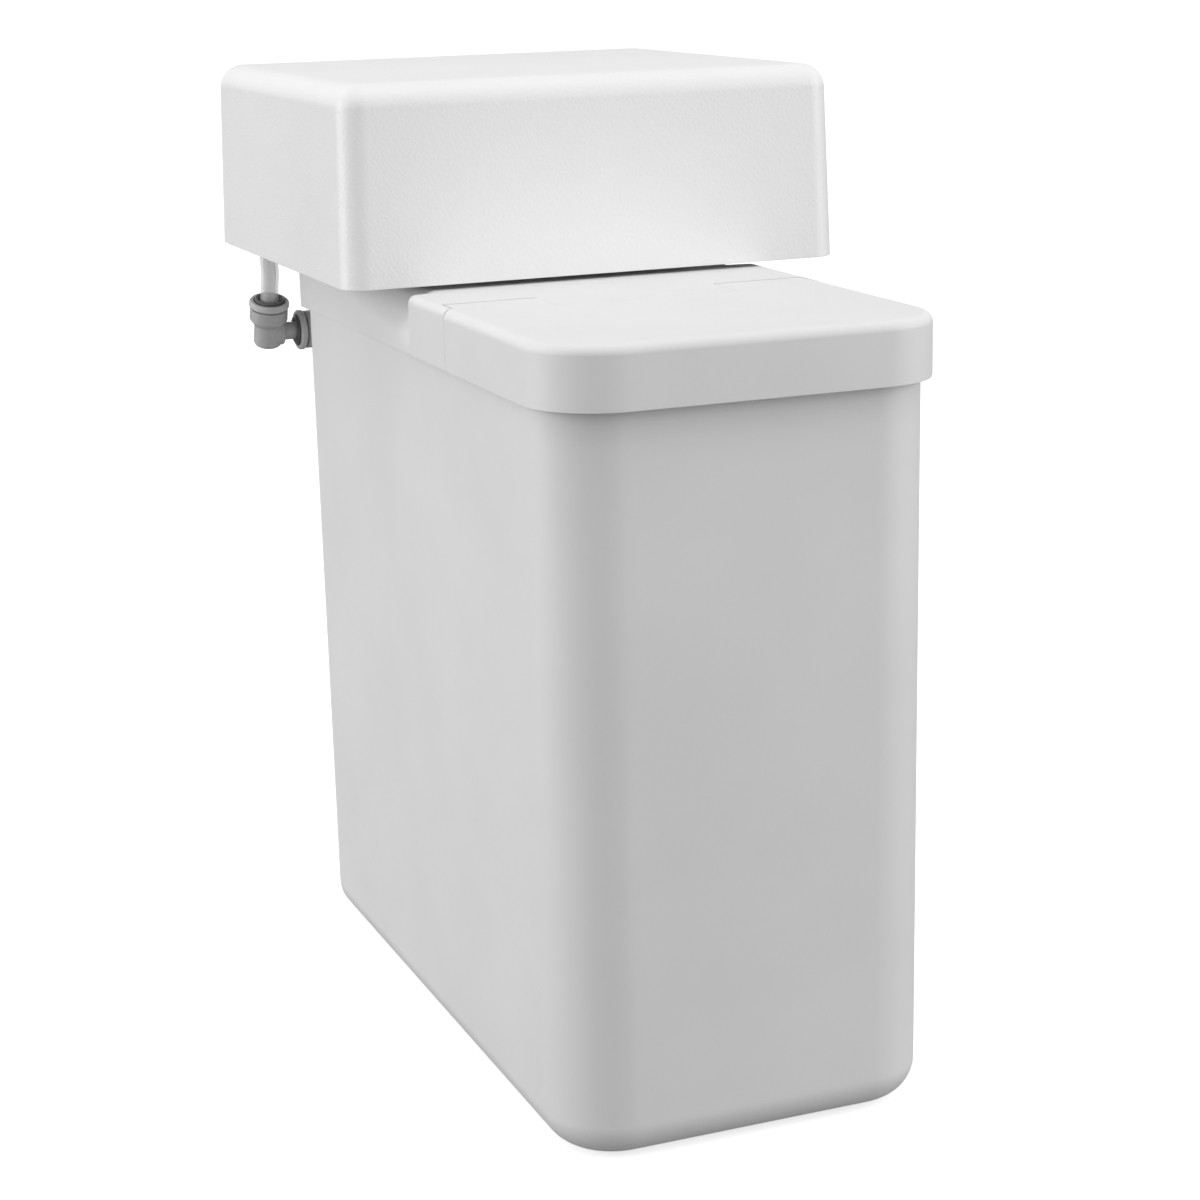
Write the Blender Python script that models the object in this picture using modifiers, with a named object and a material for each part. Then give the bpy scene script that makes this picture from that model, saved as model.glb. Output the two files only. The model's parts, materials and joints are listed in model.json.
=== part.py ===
"""A compact block-salt water softener, built as the assembly that comes apart on a bench.

A tall moulded brine tank carries a fixed rear deck and a hinged front lid for the salt. Two resin
vessels hang from the deck beside each other under a control valve, whose wide cover lifts off. A
brine line leaves the valve, drops out of the cover and enters the tank's rear wall.

Metres, +Z up. The origin is at the middle of the tank's base, the front faces -Y.
"""

import math

import bmesh
import bpy
from mathutils import Matrix, Vector

# ---------------------------------------------------------------- driving dimensions
GAP = 0.0003  # left between pieces that touch
FREE = 0.0008  # left between pieces that move past each other

TANK_WIDTH = 0.195
TANK_DEPTH = 0.395
TANK_WALL = 0.003
TANK_DRAFT = 0.0008  # how much narrower each side is at the base
TANK_FRONT_RADIUS = 0.035
TANK_REAR_RADIUS = 0.020
TANK_BASE_RADIUS = 0.018

DECK_TOP = 0.389
SKIRT_DEPTH = 0.030  # the deck's and the lid's skirts, below their top
RIM_DROP = 0.0256  # the tank's rim below the deck's top
DECK_OVERHANG = 0.0026
DECK_WALL = 0.0022
DECK_REAR_RADIUS = 0.012
DECK_LIP = 0.004
STRIP_DEPTH = 0.054  # the raised strip in front of the hand-hold scoops
TONGUE_REACH = 0.014  # the hinge tongue in front of the strip
TONGUE_HALF = 0.047
HOLD_HEIGHT = 0.024  # hand-hold scoops in the deck's sides, behind the strip
HOLD_DEPTH = 0.014
HOLD_REAR_DEPTH = 0.0013
HOLD_RIGHT_SETBACK = 0.022  # the right scoop starts this far behind the left one

LID_FRONT_OVERHANG = 0.0079
LID_WALL = 0.0024
LID_FRONT_RADIUS = 0.037
LID_LIP = 0.005
HINGE_SETBACK = 0.009  # the hinge axis behind the deck's front edge
LID_OPEN = 105  # degrees
HINGE_DROP = 0.004  # the hinge axis below the lid's top
HINGE_ARM_INSET = 0.0051  # the lid's arms inside its skirt
HINGE_PIN_RADIUS = 0.0018
HINGE_PIN_LENGTH = 0.022
HINGE_NOTCH_DEPTH = 0.016  # the deck's notches for the lid's arms, below its top

COVER_SIDE_OVERHANG = 0.0349
COVER_REAR_OVERHANG = 0.0573
COVER_DEPTH = 0.2555
COVER_HEIGHT = 0.0998
COVER_RAISE = 0.0026  # the cover's lower edge above the deck
COVER_OFFSET_X = 0.0064
COVER_STRIP_LAP = 0.0093  # the scoops start this far in front of the cover
COVER_DRAFT = 0.0026
COVER_WALL = 0.0025
COVER_CORNER_RADIUS = 0.013
COVER_LIP = 0.012
COVER_POST = 0.008

VESSEL_SIDE_CLEAR = 0.0035
VESSEL_MID_CLEAR = 0.003  # from each vessel to the middle plane
VESSEL_REAR_ROOM = 0.0585  # behind the vessels, for the float well
VESSEL_WALL = 0.0025
VESSEL_BASE_RADIUS = 0.016
SHOULDER_DROP = 0.0274  # the vessel's straight side ends this far below its neck
NECK_RADIUS = 0.029
NECK_BORE = 0.0255
NECK_HEIGHT = 0.026
CLAMP_RADIUS = 0.036
CLAMP_HEIGHT = 0.0125
SPIGOT_RADIUS = 0.0225
SPIGOT_LENGTH = 0.013
SEAL_WIRE = 0.0011
RISER_RADIUS = 0.010
RISER_BORE = 0.008
STRAINER_RADIUS = 0.017
STRAINER_HEIGHT = 0.015

VALVE_MARGIN_X = 0.031  # the valve body outside the vessels' axes
VALVE_HALF_Y = 0.050
VALVE_HEIGHT = 0.036
HEAD_HALF_X = 0.056
HEAD_HALF_Y = 0.040
HEAD_HEIGHT = 0.030
GEAR_CASE_WALL = 0.0018
SCREW_RADIUS = 0.002
SCREW_HEAD_RADIUS = 0.004
SCREW_HEAD_HEIGHT = 0.0028
SCREW_INSET = 0.008
SCREW_HEAD_Z = 0.030  # the screws' heads above the valve body's base
SCREW_REACH = 0.009  # the screws' length below the valve body's base

TOOTH_MODULE = 0.001
PINION_TEETH = 12
IDLER_TEETH = 36
DISC_TEETH = 48
GEAR_THICKNESS = 0.004
GEAR_LAYER = 0.005
SPINDLE_RADIUS = 0.0015
AXLE_SINK = 0.010
TURBINE_RADIUS = 0.014
TURBINE_HEIGHT = 0.0115
TURBINE_BLADES = 6
TURBINE_X = -0.034

PORT_HEIGHT = 0.0202  # the water ports above the deck
PORT_RADIUS = 0.0115
PORT_BORE = 0.008
PORT_LENGTH = 0.018
UNION_RADIUS = 0.0165
UNION_LENGTH = 0.010
BEND_RADIUS = 0.0105
BEND_TURN = 0.011
BEND_REACH = 0.035  # the downward bends' axis outside the valve body

TUBE_RADIUS = 0.005
FITTING_LEAN = 18  # degrees that the upright fitting and its tube lean forwards
FITTING_OUT_X = 0.0139  # the upright brine tube outside the skirt
FITTING_OUT_Y = 0.0145  # the brine fittings' axis plane behind the tank
FITTING_DROP = 0.0464  # the fittings' axis below the deck's top
BULKHEAD_STEP = 0.054  # from the upright tube to the hole in the tank
COLLET_WALL = 0.0013
COLLET_FLANGE = 0.0017  # the collet's flange outside its sleeve
COLLET_HEAD = 0.0034
COLLET_REACH = 0.010  # the collet's sleeve inside the socket
COLLET_TRAVEL = 0.0015
SOCKET_WALL = 0.0029  # the socket's body outside the collet's flange
SOCKET_SEAT = 0.0045  # the lock ring's seat below the socket's face
SOCKET_BODY = 0.0118  # the body's foot below the face
SOCKET_TAPER = 0.0148  # the nose's top below the face
NOSE_WALL = 0.0028
NOSE_ROUND = 0.0025
UPRIGHT_TAIL = 0.0088  # each fitting's nose past its axis
LEVEL_TAIL = 0.0095
LOCK_STEP = 0.0006  # the lock ring outside the socket's body
UPRIGHT_FACE = 0.0202  # the upright socket's face above the fittings' axis
LEVEL_CLEAR = 0.0055  # the level socket's face outside the upright socket's body
BULKHEAD_WALL = 0.0018
FLANGE_STEP = 0.0047  # the tank fitting's flange outside its spigot
FLANGE_THICKNESS = 0.0024
FLANGE_GAP = 0.0017  # room for the seal between the flange and the tank
SEAL_THICKNESS = 0.0011
SEAL_STEP = 0.0029
PICKUP_INSET = 0.016  # where the pickup tube's bend starts, inside the rear wall's face

WELL_CLEAR = 0.0025  # the float well behind the vessels
WELL_RADIUS = 0.0215
WELL_WALL = 0.0017
WELL_FOOT = 0.0012
WELL_DROP = 0.0216  # its top below the fittings' axis
FLOAT_RADIUS = 0.0175
FLOAT_LOW = 0.080
FLOAT_HEIGHT = 0.035
FLOAT_STOP_DROP = 0.037

PLATFORM_Z = 0.030
PLATFORM_THICKNESS = 0.004
PLATFORM_SLOT = (0.022, 0.010)
GUARD_CLEAR = 0.007  # the guard panel in front of the vessels
GUARD_THICKNESS = 0.0025
GUARD_DROP = 0.013
PANEL_FIT = 0.002  # from the shelf and the guard to the tank's walls

OVERFLOW_X = 0.055
OVERFLOW_DROP = 0.089
OVERFLOW_RADIUS = 0.0095

# ---------------------------------------------------------------- worked out from them
TANK_HALF = TANK_WIDTH / 2
TANK_FRONT = -TANK_DEPTH / 2
TANK_REAR = TANK_DEPTH / 2
TANK_RIM = DECK_TOP - RIM_DROP
FLOOR_Z = TANK_WALL + GAP

VESSEL_RADIUS = (TANK_HALF - TANK_WALL - VESSEL_SIDE_CLEAR - VESSEL_MID_CLEAR) / 2
VESSEL_X = VESSEL_RADIUS + VESSEL_MID_CLEAR
VESSEL_Y = TANK_REAR - VESSEL_REAR_ROOM - VESSEL_RADIUS
NECK_TOP = DECK_TOP - 2 * GAP
NECK_LOW = NECK_TOP - NECK_HEIGHT
VESSEL_SHOULDER = NECK_LOW - SHOULDER_DROP

SKIRT_LOW = DECK_TOP - SKIRT_DEPTH
SKIRT_HALF = TANK_HALF + DECK_OVERHANG
DECK_REAR = TANK_REAR + DECK_OVERHANG
COVER_FRONT_Y = TANK_REAR + COVER_REAR_OVERHANG - COVER_DEPTH
HOLD_FRONT_Y = COVER_FRONT_Y - COVER_STRIP_LAP
HOLD_LOW_Z = DECK_TOP - HOLD_HEIGHT
DECK_FRONT_Y = HOLD_FRONT_Y - STRIP_DEPTH
TONGUE_FRONT_Y = DECK_FRONT_Y - TONGUE_REACH

LID_FRONT = TANK_FRONT - LID_FRONT_OVERHANG
HINGE_Y = DECK_FRONT_Y + HINGE_SETBACK
HINGE_Z = DECK_TOP - HINGE_DROP
HINGE_ARM_INNER = TONGUE_HALF + FREE
HINGE_ARM_OUTER = SKIRT_HALF - HINGE_ARM_INSET

VALVE_HALF_X = VESSEL_X + VALVE_MARGIN_X
VALVE_Z = DECK_TOP + GAP
VALVE_TOP = VALVE_Z + VALVE_HEIGHT
HEAD_Z = VALVE_TOP + GAP
HEAD_TOP = HEAD_Z + HEAD_HEIGHT
IDLER_X = TURBINE_X + TOOTH_MODULE * (PINION_TEETH + IDLER_TEETH) / 2
DISC_X = IDLER_X + TOOTH_MODULE * (PINION_TEETH + DISC_TEETH) / 2
LAYER_1 = HEAD_TOP + 0.0015
LAYER_2 = LAYER_1 + GEAR_LAYER
GEAR_CASE_TOP = LAYER_2 + GEAR_THICKNESS + 0.005
PORT_Z = DECK_TOP + PORT_HEIGHT
COVER_HALF = SKIRT_HALF + COVER_SIDE_OVERHANG
COVER_Z = DECK_TOP + COVER_RAISE
COVER_TOP = COVER_Z + COVER_HEIGHT

COLLET_SLEEVE = TUBE_RADIUS + GAP + COLLET_WALL
COLLET_RADIUS = COLLET_SLEEVE + COLLET_FLANGE
BODY_RADIUS = COLLET_RADIUS + SOCKET_WALL
LOCK_RADIUS = BODY_RADIUS + LOCK_STEP
LEVEL_FACE = BODY_RADIUS + LEVEL_CLEAR
NOSE_RADIUS = TUBE_RADIUS + NOSE_WALL
BULKHEAD_RADIUS = TUBE_RADIUS + BULKHEAD_WALL
FLANGE_RADIUS = BULKHEAD_RADIUS + FLANGE_STEP
FITTING_X = -(SKIRT_HALF + FITTING_OUT_X)
FITTING_Y = TANK_REAR + FITTING_OUT_Y
FITTING_Z = DECK_TOP - FITTING_DROP
BULKHEAD_X = FITTING_X + BULKHEAD_STEP
WELL_Y = VESSEL_Y + VESSEL_RADIUS + WELL_RADIUS + WELL_CLEAR
WELL_TOP = FITTING_Z - WELL_DROP
FLOAT_STOP_Z = WELL_TOP - FLOAT_STOP_DROP
GUARD_Y = VESSEL_Y - VESSEL_RADIUS - GUARD_CLEAR
GUARD_TOP = TANK_RIM - GUARD_DROP
OVERFLOW_Z = DECK_TOP - OVERFLOW_DROP

PARTS = "water_softener"
CUTTERS = "cutters"


# ---------------------------------------------------------------- scene helpers
def clear_scene():
    for obj in list(bpy.data.objects):
        bpy.data.objects.remove(obj, do_unlink=True)


def collection_named(name):
    found = bpy.data.collections.get(name)
    if found is None:
        found = bpy.data.collections.new(name)
        bpy.context.scene.collection.children.link(found)
    return found


def finish(name, roughness, color, metallic=0.0, alpha=1.0):
    """A plain Principled material."""
    material = bpy.data.materials.new(name)
    material.use_nodes = True
    shader = material.node_tree.nodes["Principled BSDF"]
    shader.inputs["Base Color"].default_value = (*color, 1.0)
    shader.inputs["Roughness"].default_value = roughness
    shader.inputs["Metallic"].default_value = metallic
    shader.inputs["Alpha"].default_value = alpha
    return material


def add_object(name, data, material=None):
    """Links a part, or a hidden cutter when it has no material."""
    obj = bpy.data.objects.new(name, data)
    collection_named(PARTS if material else CUTTERS).objects.link(obj)
    if material:
        obj.data.materials.append(material)
    else:
        obj.hide_render = True
        obj.display_type = "WIRE"
    return obj


def add_mesh(name, bm, material=None):
    mesh = bpy.data.meshes.new(name)
    bm.to_mesh(mesh)
    bm.free()
    mesh.shade_smooth()
    mesh.set_sharp_from_angle(angle=math.radians(40))
    return add_object(name, mesh, material)


def boolean(obj, other, operation):
    modifier = obj.modifiers.new(f"{operation.title()} {other.name}", "BOOLEAN")
    modifier.operation = operation
    modifier.solver = "EXACT"
    modifier.object = other


def cut(obj, *cutters):
    for cutter in cutters:
        boolean(obj, cutter, "DIFFERENCE")


def join(obj, *others):
    for other in others:
        boolean(obj, other, "UNION")


# ---------------------------------------------------------------- shapes
def rounded_block(lo, hi, front=0.0, rear=0.0, lip=0.0, lip_at="top", keep=None, draft=0.0, segments=6):
    """A block whose upright edges and one rim are rounded. keep picks rim edges left sharp."""
    lo, hi = Vector(lo), Vector(hi)
    middle = (lo + hi) / 2
    bm = bmesh.new()
    bmesh.ops.create_cube(bm, size=1.0, matrix=Matrix.LocRotScale(middle, None, hi - lo))
    end = hi.z if lip_at == "top" else lo.z
    for vert in bm.verts:
        if abs(vert.co.z - end) < GAP:
            vert.co.x += math.copysign(draft, middle.x - vert.co.x)
            vert.co.y += math.copysign(draft, middle.y - vert.co.y)
    for radius, side in ((front, -1), (rear, 1)):
        if radius:
            bevel(bm, radius, segments, lambda edge: upright(edge) and (edge_y(edge) - middle.y) * side > 0)
    if lip:
        bevel(bm, lip, segments, lambda edge: on_rim(edge, end) and not (keep and keep(edge)))
    return bm


def upright(edge):
    ends = [vert.co for vert in edge.verts]
    return abs(ends[0].z - ends[1].z) > 0.5 * (ends[0] - ends[1]).length


def edge_y(edge):
    return (edge.verts[0].co.y + edge.verts[1].co.y) / 2


def on_rim(edge, height):
    return all(abs(vert.co.z - height) < GAP for vert in edge.verts)


def bevel(bm, radius, segments, picked):
    edges = [edge for edge in bm.edges if picked(edge)]
    bmesh.ops.bevel(
        bm, geom=edges, offset=radius, segments=segments, profile=0.5, affect="EDGES", clamp_overlap=False
    )


def open_side(bm, direction):
    """Removes the flat faces that look along direction."""
    direction = Vector(direction)
    bm.normal_update()
    faces = [face for face in bm.faces if face.normal.dot(direction) > 0.999]
    bmesh.ops.delete(bm, geom=faces, context="FACES")


def give_wall(obj, thickness):
    modifier = obj.modifiers.new("Wall", "SOLIDIFY")
    modifier.thickness = thickness
    modifier.offset = -1.0
    modifier.use_even_offset = True
    modifier.use_quality_normals = True


def block(name, lo, hi, material=None, lip=0.0):
    return add_mesh(name, rounded_block(lo, hi, lip=lip, segments=2), material)


def turned(name, profile, material=None, at=(0, 0, 0), along=(0, 0, 1), steps=24, ring=False):
    """A profile of (radius, height) points, down its outer side, turned about an axis through at."""
    mesh = bpy.data.meshes.new(name)
    points = [(radius, 0.0, height) for radius, height in profile]
    edges = [(i, i + 1) for i in range(len(points) - 1)]
    if ring:
        edges.append((len(points) - 1, 0))
    mesh.from_pydata(points, edges, [])
    obj = add_object(name, mesh, material)
    obj.location = at
    obj.rotation_mode = "QUATERNION"
    obj.rotation_quaternion = Vector((0, 0, 1)).rotation_difference(Vector(along))
    screw = obj.modifiers.new("Turn", "SCREW")
    screw.steps = steps
    screw.render_steps = steps
    screw.use_merge_vertices = True
    screw.merge_threshold = 0.00001
    return obj


def rod(name, radius, low, high, material=None, **place):
    profile = [(0, high), (radius, high), (radius, low), (0, low)]
    return turned(name, profile, material, **place)


def collar(name, bore, radius, low, high, material=None, **place):
    profile = [(radius, high), (radius, low), (bore, low), (bore, high)]
    return turned(name, profile, material, ring=True, **place)


def hex_nut(name, bore, radius, low, high, material, at, along):
    bm = bmesh.new()
    middle = Matrix.Translation((0, 0, (low + high) / 2))
    bmesh.ops.create_cone(
        bm, cap_ends=True, segments=6, radius1=radius, radius2=radius, depth=high - low, matrix=middle
    )
    turn = Vector((0, 0, 1)).rotation_difference(Vector(along)).to_matrix().to_4x4()
    bm.transform(Matrix.Translation(at) @ turn)
    nut = add_mesh(name, bm, material)
    reach = high - low
    cut(nut, rod(f"{name}_bore", bore, low - reach, high + reach, at=at, along=along))
    return nut


def smooth_route(points, per_span):
    """Catmull-Rom points through the given ones."""
    points = [Vector(point) for point in points]
    padded = [2 * points[0] - points[1], *points, 2 * points[-1] - points[-2]]
    route = []
    for a, b, c, d in zip(padded, padded[1:], padded[2:], padded[3:]):
        for step in range(per_span):
            t = step / per_span
            route.append(
                b + 0.5 * ((c - a) * t + (2 * a - 5 * b + 4 * c - d) * t**2 + (3 * b - a - 3 * c + d) * t**3)
            )
    route.append(points[-1])
    return route


def pipe(name, points, radius, material=None):
    curve = bpy.data.curves.new(name, "CURVE")
    curve.dimensions = "3D"
    curve.bevel_depth = radius
    curve.bevel_resolution = 2
    curve.use_fill_caps = True
    spline = curve.splines.new("POLY")
    spline.points.add(len(points) - 1)
    for point, place in zip(spline.points, points):
        point.co = (*place, 1.0)
    return add_object(name, curve, material)


def meshed(obj):
    """The curve object as a closed mesh object, which a Boolean takes."""
    bpy.context.view_layer.update()
    graph = bpy.context.evaluated_depsgraph_get()
    mesh = bpy.data.meshes.new_from_object(obj.evaluated_get(graph))
    bm = bmesh.new()
    bm.from_mesh(mesh)
    bmesh.ops.remove_doubles(bm, verts=bm.verts, dist=0.00001)
    bm.to_mesh(mesh)
    bm.free()
    name, material = obj.name, obj.data.materials[0] if obj.data.materials else None
    matrix = obj.matrix_world.copy()
    bpy.data.objects.remove(obj, do_unlink=True)
    if material:
        mesh.materials.clear()
    made = add_object(name, mesh, material)
    made.matrix_world = matrix
    return made


def gear_outline(teeth):
    """Points round a spur gear with straight-sided teeth and room for backlash."""
    pitch = teeth * TOOTH_MODULE / 2
    root, tip = pitch - 1.25 * TOOTH_MODULE, pitch + 0.85 * TOOTH_MODULE
    step = 2 * math.pi / teeth
    corners = ((-0.30, root), (-0.11, tip), (0.11, tip), (0.30, root))
    return [
        (radius * math.cos((tooth + share) * step), radius * math.sin((tooth + share) * step))
        for tooth in range(teeth)
        for share, radius in corners
    ]


def circle_outline(radius, count=24):
    return [
        (radius * math.cos(2 * math.pi * i / count), radius * math.sin(2 * math.pi * i / count))
        for i in range(count)
    ]


def plate(name, outlines, low, thickness, at, material=None, turn=0.0):
    """A flat outline with holes, given a thickness."""
    curve = bpy.data.curves.new(name, "CURVE")
    curve.dimensions = "2D"
    curve.fill_mode = "BOTH"
    curve.extrude = thickness / 2
    for outline in outlines:
        spline = curve.splines.new("POLY")
        spline.points.add(len(outline) - 1)
        for point, (x, y) in zip(spline.points, outline):
            point.co = (x, y, 0.0, 1.0)
        spline.use_cyclic_u = True
    obj = add_object(name, curve, material)
    obj.location = (at[0], at[1], low + thickness / 2)
    obj.rotation_euler.z = turn
    return obj


# ---------------------------------------------------------------- tank
def make_tank(white):
    bm = rounded_block(
        (-TANK_HALF, TANK_FRONT, 0),
        (TANK_HALF, TANK_REAR, TANK_RIM),
        front=TANK_FRONT_RADIUS,
        rear=TANK_REAR_RADIUS,
        lip=TANK_BASE_RADIUS,
        lip_at="bottom",
        draft=TANK_DRAFT,
        segments=5,
    )
    open_side(bm, (0, 0, 1))
    tank = add_mesh("brine_tank", bm, white)
    give_wall(tank, TANK_WALL)
    for name, x, z, radius in (
        ("bulkhead_hole", BULKHEAD_X, FITTING_Z, BULKHEAD_RADIUS),
        ("overflow_hole", OVERFLOW_X, OVERFLOW_Z, OVERFLOW_RADIUS),
    ):
        hole = rod(name, radius + GAP, -2 * TANK_WALL, 2 * TANK_WALL, at=(x, TANK_REAR, z), along=(0, 1, 0))
        cut(tank, hole)


def hold_wedge(name, side, inward=0.0):
    """A cutter for one hand-hold scoop: deep at its front and top, and nothing at its rear and foot."""
    front = HOLD_FRONT_Y + (HOLD_RIGHT_SETBACK if side > 0 else 0)
    rise = HOLD_DEPTH / (DECK_TOP - HOLD_LOW_Z)
    fall = (HOLD_DEPTH - HOLD_REAR_DEPTH) / (DECK_REAR - front)
    outside = SKIRT_HALF + 0.030
    bm = bmesh.new()
    for y in (front - inward, DECK_REAR + 0.010):
        for z in (SKIRT_LOW - 0.004, DECK_TOP + 0.006):
            x = SKIRT_HALF - rise * (z - HOLD_LOW_Z) + fall * (y - front) - 1.2 * inward
            bm.verts.new((side * x, y, z))
            bm.verts.new((side * outside, y, z))
    bmesh.ops.convex_hull(bm, input=bm.verts)
    bmesh.ops.recalc_face_normals(bm, faces=bm.faces)
    return add_mesh(name, bm)


def make_deck(white):
    """The fixed rear half of the top: a skirted shell with the raised strip and the hinge tongue."""
    def at_front(edge):
        return all(abs(vert.co.y - DECK_FRONT_Y) < GAP for vert in edge.verts)

    bm = rounded_block(
        (-SKIRT_HALF, DECK_FRONT_Y, SKIRT_LOW),
        (SKIRT_HALF, DECK_REAR, DECK_TOP),
        rear=DECK_REAR_RADIUS,
        lip=DECK_LIP,
        keep=at_front,
        segments=4,
    )
    deck = add_mesh("tank_deck", bm, white)
    inner = rounded_block(
        (-SKIRT_HALF + DECK_WALL, DECK_FRONT_Y - 0.010, SKIRT_LOW - 0.010),
        (SKIRT_HALF - DECK_WALL, DECK_REAR - DECK_WALL, DECK_TOP - DECK_WALL),
        rear=DECK_REAR_RADIUS - DECK_WALL,
        segments=4,
    )
    hollow = add_mesh("deck_hollow", inner)
    for side, word in ((-1, "left"), (1, "right")):
        cut(deck, hold_wedge(f"hold_{word}", side))
        cut(hollow, hold_wedge(f"hold_inside_{word}", side, DECK_WALL))
    cut(deck, hollow)
    join(deck, hinge_tongue())
    for side, word in ((-1, "left"), (1, "right")):
        notch_x = sorted((side * (HINGE_ARM_INNER - FREE), side * (HINGE_ARM_OUTER + FREE)))
        notch = block(
            f"hinge_notch_{word}",
            (notch_x[0], TONGUE_FRONT_Y - 0.006, DECK_TOP - HINGE_NOTCH_DEPTH),
            (notch_x[1], HINGE_Y + arm_sweep() + FREE, DECK_TOP + 0.004),
        )
        neck = rod(
            f"neck_hole_{word}",
            NECK_RADIUS + 2 * GAP,
            DECK_TOP - 0.010,
            DECK_TOP + 0.010,
            at=(side * VESSEL_X, VESSEL_Y, 0),
        )
        cut(deck, notch, neck, pin_bore(f"tongue_bore_{word}", side))
    for index, (x, y) in enumerate(screw_places(), 1):
        name = f"deck_screw_hole_{index}"
        hole = rod(name, SCREW_RADIUS + GAP, DECK_TOP - 0.012, DECK_TOP + 0.002, at=(x, y, 0))
        cut(deck, hole)


def arm_sweep():
    """How far behind its axis an arm's flat top crosses the deck's top with the lid open."""
    past_upright = math.radians(LID_OPEN - 90)
    return HINGE_DROP * (1 + math.sin(past_upright)) / math.cos(past_upright)


def hinge_tongue():
    """The deck's middle tongue, which reaches between the lid's two arms."""
    return block(
        "deck_tongue",
        (-TONGUE_HALF, TONGUE_FRONT_Y, HINGE_Z - HINGE_DROP),
        (TONGUE_HALF, HINGE_Y + 0.010, DECK_TOP),
    )


def pin_bore(name, side):
    middle = side * (HINGE_ARM_INNER + TONGUE_HALF) / 2
    reach = HINGE_PIN_LENGTH / 2 + GAP
    return rod(
        name, HINGE_PIN_RADIUS + GAP, -reach, reach, at=(middle, HINGE_Y, HINGE_Z), along=(1, 0, 0), steps=20
    )


# ---------------------------------------------------------------- lid and cover
def make_lid(white):
    rear = DECK_FRONT_Y - FREE

    def at_rear(edge):
        return all(abs(vert.co.y - rear) < GAP for vert in edge.verts)

    bm = rounded_block(
        (-SKIRT_HALF, LID_FRONT, SKIRT_LOW),
        (SKIRT_HALF, rear, DECK_TOP),
        front=LID_FRONT_RADIUS,
        lip=LID_LIP,
        keep=at_rear,
        segments=5,
    )
    open_side(bm, (0, 0, -1))
    open_side(bm, (0, 1, 0))
    lid = add_mesh("salt_lid", bm, white)
    give_wall(lid, LID_WALL)
    notch = block(
        "lid_notch",
        (-TONGUE_HALF - FREE, TONGUE_FRONT_Y - FREE, DECK_TOP - 0.015),
        (TONGUE_HALF + FREE, rear + 0.010, DECK_TOP + 0.005),
    )
    cut(lid, notch)
    for side, word in ((-1, "left"), (1, "right")):
        join(lid, hinge_arm(f"lid_arm_{word}", side))
        cut(lid, pin_bore(f"arm_bore_{word}", side))


def hinge_arm(name, side):
    """One arm of the lid, whose rear end is round about the hinge axis."""
    reach = HINGE_Y - TONGUE_FRONT_Y
    length = HINGE_ARM_OUTER - HINGE_ARM_INNER
    bm = bmesh.new()
    bmesh.ops.create_cone(
        bm, cap_ends=True, segments=24, radius1=HINGE_DROP, radius2=HINGE_DROP, depth=length,
        matrix=Matrix.Rotation(math.pi / 2, 4, "Y") @ Matrix.Rotation(math.pi / 24, 4, "Z"),
    )
    for vert in bm.verts:
        if vert.co.y < 0:
            vert.co.z = math.copysign(HINGE_DROP, vert.co.z) - 0.0001
            vert.co.y -= reach
    bm.transform(Matrix.Translation((side * (HINGE_ARM_INNER + length / 2), HINGE_Y, HINGE_Z)))
    bmesh.ops.recalc_face_normals(bm, faces=bm.faces)
    return add_mesh(name, bm)


def make_hinge_pins(steel):
    middle = (HINGE_ARM_INNER + TONGUE_HALF) / 2
    half = HINGE_PIN_LENGTH / 2 - GAP
    for side, word in ((-1, "left"), (1, "right")):
        place = (side * middle, HINGE_Y, HINGE_Z)
        rod(f"hinge_pin_{word}", HINGE_PIN_RADIUS, -half, half, steel, at=place, along=(1, 0, 0), steps=20)


def make_cover(pale):
    bm = rounded_block(
        (COVER_OFFSET_X - COVER_HALF, COVER_FRONT_Y, COVER_Z),
        (COVER_OFFSET_X + COVER_HALF, COVER_FRONT_Y + COVER_DEPTH, COVER_TOP),
        front=COVER_CORNER_RADIUS,
        rear=COVER_CORNER_RADIUS,
        lip=COVER_LIP,
        draft=COVER_DRAFT,
        segments=6,
    )
    open_side(bm, (0, 0, -1))
    cover = add_mesh("valve_cover", bm, pale)
    give_wall(cover, COVER_WALL)
    for index, (x, y) in enumerate(((-1, -1), (1, -1), (-1, 1), (1, 1)), 1):
        middle = Vector((x * (HEAD_HALF_X - 0.016), VESSEL_Y + y * (HEAD_HALF_Y - 0.016), 0))
        half_post = Vector((COVER_POST / 2, COVER_POST / 2, 0))
        low = Vector((0, 0, GEAR_CASE_TOP + GAP))
        high = Vector((0, 0, COVER_TOP - COVER_WALL / 2))
        join(cover, block(f"cover_post_{index}", middle - half_post + low, middle + half_post + high))


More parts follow.
